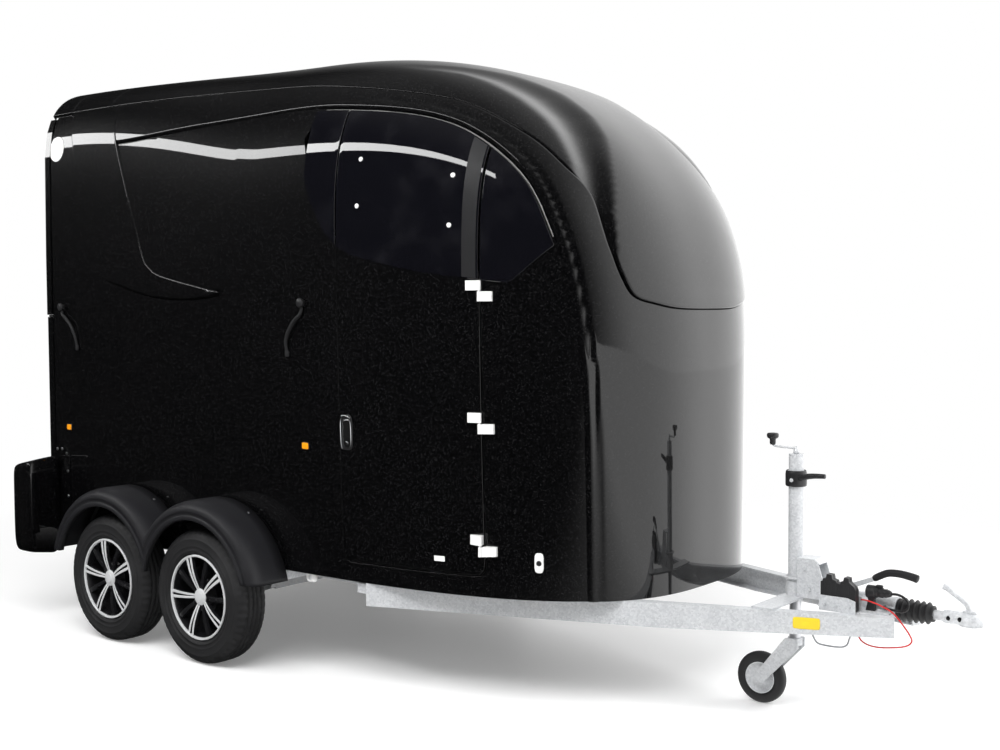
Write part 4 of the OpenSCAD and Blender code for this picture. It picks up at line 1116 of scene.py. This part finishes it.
def makePods():
    for name, side in (("pod_right", -1), ("pod_left", 1)):
        bits = Bits()
        middle = ((pod["back"] + pod["front"]) / 2, side * (pod["out"] + pod["in"]) / 2, (pod["low"] + pod["high"]) / 2)
        size = ((pod["front"] - pod["back"]) / 2, (pod["out"] - pod["in"]) / 2, (pod["high"] - pod["low"]) / 2)

        def shape(p):
            high = max(0, p.z / size[2])
            low = max(0, -p.z / size[2])
            outward = (side * p.y / size[1] + 1) / 2
            rear = (1 - p.x / size[0]) / 2
            return Vector((p.x * (1 - 0.10 * low ** 3), p.y * (1 - 0.05 * low ** 4),
                           p.z - 0.055 * high ** 4 * (0.45 * outward + 0.55 * rear) + 0.03 * low ** 6 * outward))
        superBox(bits, middle, size, 7.5, (44, 64), 0, None, shape)
        x0, x1, z0, z1 = pod["flange"]
        y = side * (sideY(-0.99, 0.9, form["recess"]) + 0.0008)
        top = [(x1 - 0.055 + 0.055 * math.cos(math.radians(a)),
                z1 - 0.055 + 0.055 * math.sin(math.radians(a))) for a in range(0, 91, 10)]
        top += [(x0, z1)]
        outline = [(x0, y, z0)] + [(x1 - 0.012, y, z0), (x1, y, z0 + 0.012)] + [(px, y, pz) for px, pz in top]
        if side < 0:
            bits.prism(outline, (0, -0.0055, 0))
        else:
            bits.prism(outline[::-1], (0, 0.0055, 0))
        bits.piece(name + "_shell", paints["body"], nodes=[name], slotName="body_gloss", edge=0.0018)
        bolts = Bits()
        for bx, bz in ((-1.045, 0.915), (-1.0, 0.917), (-0.957, 0.895), (-0.95, 0.80), (-0.95, 0.665), (-0.95, 0.53)):
            bolts.lathe([(0.0085, 0), (0.0085, 0.002), (0.006, 0.0042), (0.0, 0.0052)], (bx, y + side * 0.0055, bz),
                        (0, side, 0), 16)
        for bz in (0.83, 0.425):
            bolts.lathe([(0.0075, 0), (0.0072, 0.002), (0.005, 0.004), (0.0, 0.0045)], (-1.168, middle[1], bz), (-1,
                    0, 0), 16)
        bolts.piece(name + "_bolts", paints["steel"], slotName="zinc", edge=0)


def makeTailLamps():
    bits = Bits()
    order = ((0.76, 2), (0.64, 0), (0.52, 1))
    for side in (-1, 1):
        for z, tone in order:
            rings = [(0.042, 0.0), (0.042, 0.003), (0.040, 0.0045), (0.0385, 0.0030)]
            bits.lathe(rings + [(0.0380, 0.0030), (0.0, 0.0030)], (-1.174, side * 1.010, z), (-1, 0, 0), 48, 3)
            dome = [(0.0380, 0.0030)]
            for k in range(9):
                r = 0.036 - 0.004 * k
                dome += [(r + 0.0016, 0.0052 + 0.0026 * (1 - (r / 0.038) ** 2)), (r,
                        0.0046 + 0.0026 * (1 - (r / 0.038) ** 2))]
            bits.lathe(dome + [(0.0, 0.0075)], (-1.174, side * 1.010, z), (-1, 0, 0), 48, tone)
    bits.piece("tail_lamp_lenses", [paints["red"], paints["amber"], paints["clear"], paints["plastic"]],
               nodes=["tail_lamps"], slotName="lamp_red", edge=0)


makePods()
makeTailLamps()
print("pods built")


# Rear end of the roof, in two moulded rings over the flap's hinge
def makeRearCap():
    coats = [paints["body"], paints["inner"]]
    for name, low, high, nodes in (("rear_cap_front", bodySkin["capJoint"] + 0.0015, bodySkin["capFront"] - 0.0015,
                                    ["rear_cap"]),
                                   ("rear_cap_back", -1.12, bodySkin["capJoint"] - 0.0015, ["rear_cap"])):
        ring = Sheet(0, (-1.12, -0.5), (0.45, 1)).cut(roofArea, 0.005).cut(lineField(0, high, -1), 0.006)
        ring.cut(lineField(0, low + 0.00005), 0.024 if name == "rear_cap_back" else 0.006)
        ring.build(name, coats, "trailer", nodes, "body_gloss", 0.012, sides=("both",))
    t = np.linspace(0.5, 1, 200)
    section = formPoint(np.full(200, -1.12), t, 0.007)
    half = [(y, z) for _, y, z in section if z > 2.7235]
    half = [(half[0][0], 2.7235)] + half
    outline = [(-1.1185, -y, z) for y, z in half] + [(-1.1185, y, z) for y, z in half[::-1][1:]]
    bits = Bits()
    bits.prism(outline, (0.088, 0, 0))
    for y in (-0.52, 0.0, 0.52):
        bits.lathe([(0.004, -0.066), (0.004, 0.066)], (-1.114, y, 2.710), (0, 1, 0), 20, 1)
        for z in (-0.066, 0.030):
            bits.lathe([(0.006, z), (0.006, z + 0.036)], (-1.114, y, 2.710), (0, 1, 0), 24, 1)
            bits.box((-1.119, y + z, 2.710), (-1.108, y + z + 0.036, 2.725), 1)
    bits.piece("rear_cap_frame", [paints["body"], paints["steel"]], nodes=["rear_cap"], slotName="body_gloss",
               edge=0.0015)


makeRearCap()
print("rear cap built")


# Glass fittings, handle, straps, small lamps and plates on the sides
def makeSideFittings():
    strip = (Sheet(form["paneStand"] - 0.0009, (form["bendX"], form["bendX"] + 1.4), (0.3, 1)).cut(grow(archArea,
            -0.016)).cut(grow(glassArea, -0.004))
             .cut(lineField(0, 1.792)).cut(lineField(0, 1.852, -1)))
    strip.build("pane_post", [paints["plastic"], paints["plastic"]], "door", slotName="guard_plastic", thick=0.0008)
    dots = Bits()
    for x, z in ((1.28, 2.301), (1.274, 2.101), (1.739, 2.207), (1.736, 2.002)):
        knob(dots, onSide(x, z, form["paneStand"]), [(0.0105, -0.001), (0.0105, 0.0015), (0.009, 0.003), (0.0,
                0.0035)], 0, 24)
    dots.piece("pane_caps", paints["white"], "door", slotName="hinge_white", edge=0)

    handle = Bits()
    f = onSide(1.186, 1.127, form["recess"])
    superBox(handle, (0, 0, 0.003), (0.038, 0.077, 0.0035), 5, (16, 32), 0, f)
    superBox(handle, (0.010, -0.004, 0.0075), (0.024, 0.062, 0.0065), 4, (16, 28), 1, f)
    bar = [f @ Vector(p) for p in smoothLine([(-0.026, -0.072, 0.004), (-0.0265, -0.05, 0.010), (-0.0265, 0.0,
            0.0115), (-0.0262, 0.045, 0.011),
                                              (-0.020, 0.064, 0.0105), (-0.006, 0.0715, 0.010), (0.012, 0.071,
                                                      0.009), (0.027, 0.062, 0.006)], 6)]
    handle.tube(bar, [0.0052] * len(bar), 12, 1)
    knob(handle, f @ Matrix.Translation((0.012, -0.046, 0.012)), [(0.0075, 0), (0.0075, 0.002), (0.005, 0.003), (0.0,
            0.003)], 1)
    handle.piece("door_paddle", [paints["plastic"], paints["chrome"]], "door", ["door_handle"], "chrome", edge=0)

    knobs = Bits()
    straps = Bits()
    for side in (-1, 1):
        for x, z, curve in ((-0.970, 1.685, [(-0.970, 1.665), (-0.962, 1.645), (-0.925, 1.625), (-0.878, 1.585),
                                             (-0.846, 1.53), (-0.834, 1.475)]),
                            (0.940, 1.691, [(0.940, 1.672), (0.932, 1.640), (0.898, 1.612), (0.858, 1.562), (0.836,
                                    1.515), (0.838, 1.470)])):
            knob(knobs, onSide(x, z, form["recess"], side), [(0.013, 0.0), (0.012, 0.010), (0.014, 0.013), (0.0195,
                    0.015), (0.020, 0.022), (0.0165, 0.0255), (0.0, 0.0265)], 0, 28)
            line = smoothLine(curve, 5)
            route, wide = [], []
            for k, (sx, sz) in enumerate(line):
                out = 0.0065 + 0.010 * math.sin(math.pi * k / (len(line) - 1))
                route.append(onSide(float(sx), float(sz), form["recess"], side) @ Vector((0, 0, out)))
                wide.append(0.0062 + 0.002 * math.sin(math.pi * k / (len(line) - 1)))
            straps.tube(route, wide, 12)
            superBox(straps, (0, 0, 0.007), (0.011, 0.015, 0.006), 4, (10, 20), 0, onSide(float(line[-1][0]),
                    float(line[-1][1]) - 0.006, form["recess"], side))
    knobs.piece("tie_knobs", paints["plastic"], nodes=["tie_points"], slotName="rubber", edge=0)
    straps.piece("tie_straps", paints["rubber"], slotName="rubber", edge=0)

    lamps = Bits()
    for side in (-1, 1):
        f = onSide(2.080, 0.627, form["recess"], side)
        superBox(lamps, (0, 0, 0.0055), (0.019, 0.041, 0.0065), 4, (14, 28), 0, f)
        knob(lamps, f @ Matrix.Translation((0, 0, 0.0085)), [(0.0115, 0), (0.0110, 0.0042), (0.009, 0.0048), (0.0,
                0.0048)], 1)
        superBox(lamps, (0.905, side * 0.872, 0.4477), (0.033, 0.010, 0.022), 3.2, (14, 28), 0)
        knob(lamps, Matrix.Translation((0.905, side * 0.8815, 0.4477)) @ Matrix.Rotation(-side * math.pi / 2, 4, "X"),
             [(0.012, 0), (0.0115, 0.0008), (0.0, 0.001)], 2)
    lamps.piece("marker_lamps", [paints["white"], paints["plastic"], paints["clear"]], nodes=["position_lamps"],
                slotName="lamp_clear", edge=0)

    ambers = Bits()
    for side in (-1, 1):
        for x, z in ((-0.930, 1.040), (0.935, 1.053)):
            f = onSide(x, z, form["recess"], side)
            superBox(ambers, (0, 0, 0.0032), (0.0225, 0.0165, 0.0034), 8, (12, 24), 1, f)
            superBox(ambers, (0, 0, 0.0050), (0.0205, 0.0145, 0.0022), 8, (12, 24), 0, f)
    ambers.piece("side_reflector_lenses", [paints["amber"], paints["plastic"]], nodes=["side_reflectors"],
                 slotName="lamp_amber", edge=0)

    circle = lambda cx, cz, r: (lambda xyz: r - np.hypot(xyz[:, 0] - cx, xyz[:, 2] - cz))
    disc = Sheet(form["recess"] - 0.0012, (-1.1, -0.9), (0.6, 0.95), 0.006).cut(circle(-1.016, 2.533, 0.066))
    disc.build("blank_disc", [paints["white"], paints["white"]], "trailer", slotName="hinge_white", thick=0.001)
    plate = Sheet(form["recess"] - 0.0008, (form["bendX"], form["bendX"] + 1.4), (0, 0.3), 0.006)
    plate.cut(lineField(0, 1.634)).cut(lineField(0, 1.684, -1)).cut(lineField(2, 0.606)).cut(lineField(2, 0.628, -1))
    plate.build("blank_plate", [paints["white"], paints["white"]], "door", slotName="hinge_white", thick=0.0007)
    print("side fittings built")


makeSideFittings()


# Drawbar, coupling and jockey gear
gear = {"legX": 2.862, "legTop": 1.06, "headZ": 0.472, "leverSpot": (3.04, -0.0503, 0.52), "leverTilt": 23,
        "rollerX": 2.712, "rollerR": 0.108}


def makeJockey():
    x = gear["legX"]
    crank = Bits()
    crank.lathe([(0.012, 0), (0.012, 0.016), (0.007, 0.018), (0.007, 0.03), (0.0, 0.031)], (x, 0,
            gear["legTop"] + 0.0003), (0, 0, 1), 24, 1)
    arm = smoothLine([(x, 0, 1.082), (x - 0.03, 0, 1.0835), (x - 0.085, 0, 1.086), (x - 0.104, 0, 1.092), (x - 0.106,
            0, 1.104)], 6)
    crank.tube(arm, [0.0048] * len(arm), 14, 1)
    crank.lathe([(0.010, 0), (0.0125, 0.006), (0.0125, 0.020), (0.0145, 0.024), (0.0215, 0.028), (0.0245, 0.034),
                 (0.0245, 0.043), (0.021, 0.0475), (0.010, 0.049), (0.0, 0.049)],
                (x - 0.106, 0, 1.092), (0, 0, 1), 32, 0)
    crank.piece("crank_handle", [paints["plastic"], paints["zinc"]], nodes=["leg_crank"], slotName="rubber", edge=0)
    collar = Bits()
    collar.lathe([(0.0388, 0.0), (0.0425, 0.003), (0.0435, 0.012), (0.0435, 0.052), (0.041, 0.064), (0.0388, 0.066)],
                 (x, 0, 0.927), (0, 0, 1), 40, 0, caps=False)
    route = smoothLine([(x + 0.03, -0.025, 0.965), (x + 0.065, -0.035, 0.974), (x + 0.10, -0.040, 0.979), (x + 0.145,
            -0.042, 0.981)], 6)
    collar.tube(route, [0.0135 - 0.004 * k / (len(route) - 1) for k in range(len(route))], 16)
    hexHead(collar, (x, -0.0435, 0.955), (0, -1, 0), 0.007, 0.006, 1)
    collar.piece("leg_collar", [paints["plastic"], paints["zinc"]], slotName="rubber", edge=0)
    tower = Bits()
    for y in (-0.042, 0.037):
        tower.prism([(x + 0.026, y, 0.4785), (x + 0.165, y, 0.4785), (x + 0.118, y, 0.622), (x + 0.100, y, 0.640),
                     (x + 0.026, y, 0.640)], (0, 0.005, 0))
    tower.prism([(x + 0.026, -0.037, 0.635), (x + 0.100, -0.037, 0.635), (x + 0.118, -0.037, 0.617), (x + 0.122,
            -0.037, 0.621), (x + 0.102, -0.037, 0.640), (x + 0.026, -0.037, 0.640)], (0, 0.074, 0))
    tower.lathe([(0.0385, 0), (0.052, 0.0005), (0.052, 0.006), (0.0385, 0.0065)], (x, 0, 0.549), (0, 0, 1), 40,
                caps=False)
    for bx, bz in ((x + 0.06, 0.60), (x + 0.08, 0.515), (x + 0.125, 0.50)):
        hexHead(tower, (bx, -0.042, bz), (0, -1, 0), 0.0085, 0.007)
    tower.piece("leg_bracket", paints["zinc"], slotName="zinc", edge=0.001)
    roller = Bits()
    r = gear["rollerR"]
    tyre = [(0.064, -0.019), (0.078, -0.0215), (r - 0.014, -0.022), (r - 0.006, -0.019), (r - 0.0015, -0.013), (r,
            -0.006), (r, 0.006), (r - 0.0015, 0.013),
            (r - 0.006, 0.019), (r - 0.014, 0.022), (0.078, 0.0215), (0.064, 0.019)]
    roller.lathe(tyre, (gear["rollerX"], 0, r), (0, 1, 0), 72, 0, caps=False)
    for s in (-1, 1):
        dish = [(0.066, 0.0175), (0.066, 0.0215), (0.0635, 0.0225), (0.061, 0.021), (0.057, 0.012), (0.040, 0.008),
                (0.030, 0.0095), (0.024, 0.019), (0.0085, 0.020), (0.0085, 0.010)]
        roller.lathe([(q, h * s) for q, h in (dish if s > 0 else dish[::-1])], (gear["rollerX"], 0, r), (0, 1, 0), 60,
                     1, caps=False)
    roller.piece("jockey_tyre", [paints["tyre"], paints["zinc"]], "jockey_roller", ["jockey_wheel"], "tyre", edge=0)


def makeCoupling():
    z = gear["headZ"]
    house = Bits()
    house.box((3.01, -0.107, 0.4697), (3.30, 0.107, 0.4777))
    house.lathe([(0.0, 0), (0.040, 0.001), (0.045, 0.006), (0.0445, 0.12), (0.041, 0.2), (0.0385, 0.255), (0.041,
            0.258), (0.041, 0.268), (0.036, 0.27), (0.0, 0.27)],
                (3.03, 0, z + 0.012), (1, 0, 0), 48)
    house.prism([(3.012, -0.045, 0.4777), (3.29, -0.045, 0.4777), (3.29, -0.045, 0.492), (3.20, -0.045, 0.503),
                 (3.012, -0.045, 0.5127)], (0, 0.09, 0))
    for bx in (3.035, 3.13, 3.255):
        for by in (-0.088, 0.088):
            hexHead(house, (bx, by, 0.4777), (0, 0, 1), 0.009, 0.008)
    house.lathe([(0.007, 0), (0.007, 0.003), (0.003, 0.003), (0.003, 0.012), (0.0, 0.012)], (3.21, 0, z + 0.053), (0,
            0, 1), 16)
    house.piece("overrun_body", paints["zinc"], nodes=["overrun_housing"], slotName="zinc", edge=0.0012)
    fold = Bits()
    ribs = [(0.020, 0.0), (0.042, 0.001), (0.043, 0.010)]
    for k in range(5):
        at = 0.012 + 0.0235 * k
        ribs += [(0.034, at), (0.033, at + 0.003), (0.0455 - 0.001 * k, at + 0.0105), (0.047 - 0.001 * k,
                at + 0.0125), (0.0455 - 0.001 * k, at + 0.0145), (0.033, at + 0.021)]
    ribs += [(0.031, 0.131), (0.031, 0.1394), (0.020, 0.1394)]
    fold.lathe(ribs, (3.3003, 0, z + 0.006), (1, 0, 0), 48, 0, caps=False)
    fold.piece("bellows_folds", paints["rubber"], nodes=["bellows"], slotName="rubber", edge=0)
    head = Bits()
    head.lathe([(0.0, 0), (0.0195, 0.0), (0.0195, 0.132), (0.024, 0.138), (0.026, 0.142), (0.026, 0.20), (0.022,
            0.22), (0.0, 0.225)], (3.3405, 0, z + 0.004), (1, 0, 0), 40)
    superBox(head, (3.545, 0, z + 0.006), (0.052, 0.031, 0.021), 4.5, (20, 36))
    domed = [(0.0, 0.026), (0.020, 0.0255), (0.034, 0.021), (0.042, 0.012), (0.0448, 0.0), (0.0448, -0.018), (0.036,
            -0.018), (0.034, -0.010), (0.024, 0.012), (0.0, 0.018)]
    head.lathe(domed[::-1], (3.580, 0, z), (0, 0, 1), 56, 0)
    head.lathe([(0.009, 0), (0.009, 0.003), (0.006, 0.005), (0.0, 0.005)], (3.503, -0.0255, z + 0.004), (0, -1, 0), 20, 1)
    head.lathe([(0.009, 0), (0.009, 0.003), (0.006, 0.005), (0.0, 0.005)], (3.548, -0.031, z + 0.006), (0, -1, 0), 20, 1)
    head.piece("coupling_cast", [paints["zinc"], paints["dark"]], nodes=["coupling_head"], slotName="zinc", edge=0)
    grip = Bits()
    route = smoothLine([(3.573, 0, z + 0.022), (3.572, 0, z + 0.042), (3.560, 0, z + 0.062), (3.535, 0, z + 0.080),
                        (3.508, 0, z + 0.098), (3.490, 0, z + 0.112), (3.474, 0, z + 0.118)], 5)
    grip.tube(route, [0.0125 - 0.003 * math.sin(math.pi * k / (len(route) - 1)) for k in range(len(route))], 16)
    superBox(grip, (3.573, 0, z + 0.028), (0.026, 0.0085, 0.010), 4, (12, 24))
    grip.piece("coupling_grip", paints["zinc"], nodes=["coupling_handle"], slotName="zinc", edge=0)


def makeLeverAndChocks():
    px, py, pz = gear["leverSpot"]
    a = math.radians(gear["leverTilt"])
    turn = lambda u, w, y=0.0: Vector((px + u * math.cos(a) - w * math.sin(a), py + y,
                                       pz + u * math.sin(a) + w * math.cos(a)))
    lever = Bits()
    flat = [turn(u, w) for u, w in [(-0.018, -0.012), (-0.008, -0.020), (0.010, -0.020), (0.03, -0.0105), (0.225,
            -0.0085), (0.225, 0.0085), (0.03, 0.0105), (0.010, 0.020), (-0.008, 0.020), (-0.018, 0.012)]]
    lever.prism(flat[::-1], (0, -0.010, 0))
    route = smoothLine([turn(0.195, 0.0, -0.005), turn(0.225, 0.004, -0.005), turn(0.262, 0.004, -0.005), turn(0.305,
            -0.012, -0.005), turn(0.345, -0.036, -0.005), turn(0.366, -0.052, -0.005)], 6)
    wide = [0.0105, 0.012] + [0.0135 + 0.0028 * (k / len(route)) for k in range(len(route) - 4)] + [0.0145, 0.009]
    lever.tube(route, wide, 20, 1)
    hexHead(lever, turn(0, 0, -0.010), (0, -1, 0), 0.010, 0.008)
    lever.piece("handbrake_bar", [paints["zinc"], paints["rubber"]], "handbrake", ["handbrake_lever"], "zinc",
                edge=0.0008)
    tray = Bits()
    tray.prism([(3.040, -0.098, 0.4697), (3.190, -0.098, 0.4697), (3.190, -0.098, 0.5297), (3.040, -0.098, 0.5297)],
               (0, -0.004, 0))
    tray.prism([(3.040, -0.160, 0.4697), (3.190, -0.160, 0.4697), (3.190, -0.160, 0.5197), (3.158, -0.160, 0.5297),
                (3.040, -0.160, 0.5297)], (0, -0.003, 0))
    tray.box((3.040, -0.160, 0.4697), (3.190, -0.098, 0.4737))
    for bx in (3.065, 3.115, 3.165):
        hexHead(tray, (bx, -0.163, 0.497), (0, -1, 0), 0.006, 0.005)
    tray.piece("chock_tray", paints["zinc"], nodes=["chock_bracket"], slotName="zinc", edge=0.0008)
    wedge = Bits()
    for y in (-0.1215, -0.1398):
        teeth = [(3.043, 0.476), (3.187, 0.476), (3.187, 0.560), (3.180, 0.575), (3.160, 0.590), (3.158, 0.606),
                 (3.140, 0.608), (3.136, 0.592), (3.126, 0.590),
                 (3.124, 0.580), (3.108, 0.580), (3.106, 0.590), (3.092, 0.594), (3.088, 0.612), (3.068,
                         0.613), (3.064, 0.596), (3.052, 0.594), (3.050, 0.584), (3.043, 0.582)]
        wedge.prism([(tx, y, tz) for tx, tz in teeth], (0, -0.0165, 0))
        for k in range(5):
            wedge.box((3.052 + 0.027 * k, y - 0.0178, 0.532), (3.060 + 0.027 * k, y + 0.0010, 0.586 - 0.002 * k))
    wedge.piece("chock_wedges", paints["plastic"], nodes=["wheel_chocks"], slotName="rubber", edge=0.0012)
    plug = Bits()
    body = [(0.0, -0.014), (0.019, -0.014), (0.0205, -0.010), (0.0205, 0.006), (0.0175, 0.008), (0.0175, 0.012),
            (0.0195, 0.014), (0.0195, 0.026), (0.0165, 0.029),
            (0.0160, 0.034), (0.0175, 0.036), (0.0160, 0.039), (0.0172, 0.042), (0.0150, 0.045), (0.0130,
                    0.054), (0.0085, 0.0598), (0.0, 0.0598)]
    plug.lathe(body, (3.2403, -0.077, 0.55), (1, 0, 0), 36)
    superBox(plug, (3.252, -0.077, 0.574), (0.014, 0.008, 0.006), 4, (10, 20))
    plug.piece("plug_body", paints["plastic"], nodes=["plug"], slotName="rubber", edge=0)
    holder = Bits()
    holder.prism([(3.200, -0.093, 0.4697), (3.240, -0.093, 0.4697), (3.234, -0.093, 0.52), (3.240, -0.093, 0.528),
                  (3.240, -0.093, 0.5597), (3.200, -0.093, 0.5597), (3.212, -0.093, 0.52)], (0, 0.022, 0))
    holder.lathe([(0.0245, 0), (0.0255, 0.003), (0.0255, 0.033), (0.0225, 0.036)], (3.203, -0.077, 0.55), (1, 0, 0), 36)
    holder.piece("plug_cradle", paints["plastic"], nodes=["plug_holder"], slotName="rubber", edge=0.001)


def onNode(node, x, z, side=-1):  # where a line across the trailer first meets a CAD node
    start = Vector(seat((x, side * 3.0, z)))
    hit, spot, normal, face = frame["nodes"][node].ray_cast(start, Vector((0, -side, 0)))
    return (Vector(spot) + Vector((midShift, 0, 0)), Vector(normal)) if hit else None


def makeBarDetails():
    plate = Bits()
    found = onNode("drawbar", 3.03, 0.43)
    if found:
        spot, out = found
        along = Vector((0, 0, 1)).cross(out).normalized()
        turn = Matrix((along, out.cross(along), out)).transposed().to_4x4()
        superBox(plate, (0, 0, 0.0006), (0.052, 0.023, 0.0007), 12, (8, 24), 0, Matrix.Translation(spot) @ turn)
        plate.piece("blank_rail_plate", paints["yellow"], slotName="lamp_amber", edge=0)
    hoop = Bits()
    line = smoothLine([(3.015, -0.197, 0.3975), (3.03, -0.195, 0.372), (3.045, -0.190, 0.345), (3.075, -0.180, 0.336),
                       (3.13, -0.165, 0.334), (3.155, -0.157, 0.345), (3.165, -0.155, 0.372), (3.175, -0.150, 0.3975)], 6)
    hoop.tube(line, [0.0035] * len(line), 10)
    hoop.piece("wire_hoop", paints["steel"], slotName="zinc", edge=0)
    seal = Bits()
    seal.box((-1.1175, -0.905, 1.6322), (-1.0775, 0.905, 1.6434))
    seal.piece("ramp_seal", paints["rubber"], "ramp", slotName="rubber", edge=0.002)
    strip = Bits()
    strip.box((-1.0738, -0.83, 2.688), (-1.064, 0.83, 2.7234))
    strip.piece("flap_seal", paints["rubber"], slotName="rubber", edge=0.002)
    print("drawbar gear built")


makeJockey()
makeCoupling()
makeLeverAndChocks()
makeBarDetails()


# Loading ramp, upper flap and the lining behind them
rear = {"face": -1.12, "back": -1.074, "matHalf": 0.84, "ribs": 13, "plate": (0.26, 0.055)}


def makeRear():
    mat = Bits()
    half = rear["matHalf"]
    inside = rear["back"] + 0.0003
    mat.box((inside, -half, 0.545), (inside + 0.0035, half, 1.60))
    for k in range(rear["ribs"]):
        z = 0.585 + 0.08 * k
        mat.prism([(inside + 0.0035, -half + 0.03, z), (inside + 0.0035, -half + 0.03, z + 0.020), (inside + 0.0095,
                -half + 0.03, z + 0.015), (inside + 0.0095, -half + 0.03, z + 0.005)],
                  (0, 2 * half - 0.06, 0))
    mat.piece("ramp_mat", paints["rubber"], "ramp", slotName="rubber", edge=0.001)
    fit = Bits()
    x = rear["face"] - 0.0003
    w, h = rear["plate"]
    superBox(fit, (x - 0.006, 0, 0.700), (0.006, w + 0.014, h + 0.014), 8, (12, 36), 0)
    superBox(fit, (x - 0.0125, 0, 0.700), (0.001, w, h), 14, (8, 36), 1)
    for y in (-0.19, 0.19):
        superBox(fit, (x - 0.013, y, 0.782), (0.013, 0.036, 0.011), 4, (12, 24), 0)
    for side in (-1, 1):
        superBox(fit, (x - 0.006, side * 0.868, 1.50), (0.006, 0.020, 0.075), 5, (14, 24), 2)
        superBox(fit, (x - 0.020, side * 0.868, 1.475), (0.008, 0.011, 0.060), 4, (14, 24), 0)
        for z in (1.44, 1.56):
            hexHead(fit, (x - 0.011, side * 0.868, z), (-1, 0, 0), 0.006, 0.005, 2)
        grip = smoothLine([(x, side * 0.45, 1.35), (x - 0.03, side * 0.447, 1.35), (x - 0.036, side * 0.43, 1.35),
                           (x - 0.036, side * 0.36, 1.35), (x - 0.03, side * 0.343, 1.35), (x, side * 0.34, 1.35)], 6)
        fit.tube(grip, [0.008] * len(grip), 14, 0)
    for z in (0.95, 1.15):
        fit.prism([(x, -0.80, z), (x, -0.80, z + 0.05), (x - 0.004, -0.80, z + 0.042), (x - 0.004, -0.80,
                z + 0.008)][::-1], (0, 1.60, 0), 3)
    fit.piece("ramp_fittings", [paints["plastic"], paints["white"], paints["zinc"], paints["body"]], "ramp",
              slotName="rubber", edge=0)
    flap = Bits()
    for side in (-1, 1):
        superBox(flap, (x - 0.006, side * 0.62, 1.72), (0.006, 0.050, 0.022), 5, (14, 28), 0)
        superBox(flap, (x - 0.018, side * 0.62, 1.716), (0.007, 0.034, 0.009), 4, (14, 24), 1)
    flap.prism([(x, -0.74, 2.05), (x, -0.74, 2.11), (x - 0.004, -0.74, 2.10), (x - 0.004, -0.74, 2.06)][::-1], (0,
            1.48, 0), 2)
    flap.piece("flap_fittings", [paints["plastic"], paints["zinc"], paints["body"]], "flap", slotName="rubber", edge=0)
    for name, side in (("kick_mat_right", "right"), ("kick_mat_left", "left")):
        sheet = Sheet(form["recess"] + form["wall"] + 0.0008, (-1.04, 1.0), (0, 0.5))
        sheet.cut(lineField(0, -1.0)).cut(lineField(0, 0.98, -1)).cut(lineField(2, 0.53)).cut(lineField(2, 1.45, -1))
        sheet.build(name, [paints["rubber"], paints["rubber"]], "trailer", slotName="rubber", thick=0.007, sides=(side,))
    print("rear and lining built")


makeRear()


# Materials of the CAD nodes that stay
nodePaints = {
    "chassis": "zinc", "drawbar": "zinc", "axle_front": "zincDark", "axle_rear": "zincDark", "floor": "board",
    "portal": "body", "hinge_leaves": "white", "centre_post": "zinc", "partition": "pad",
    "breast_bars": "pad", "leg_clamp": "zinc", "leg_tube": "zinc", 
    "door_hinges": "white", "ramp_panel": "body", "rear_flap": "body",
    "leg_core": "steel", "jockey_fork": "zinc",
}
for node, key in nodePaints.items():
    piece = frame["nodes"][node]
    if not piece.material_slots:
        piece.data.materials.append(paints[key])
    for slotRow in piece.material_slots:
        slotRow.material = paints[key]

print("pieces done")
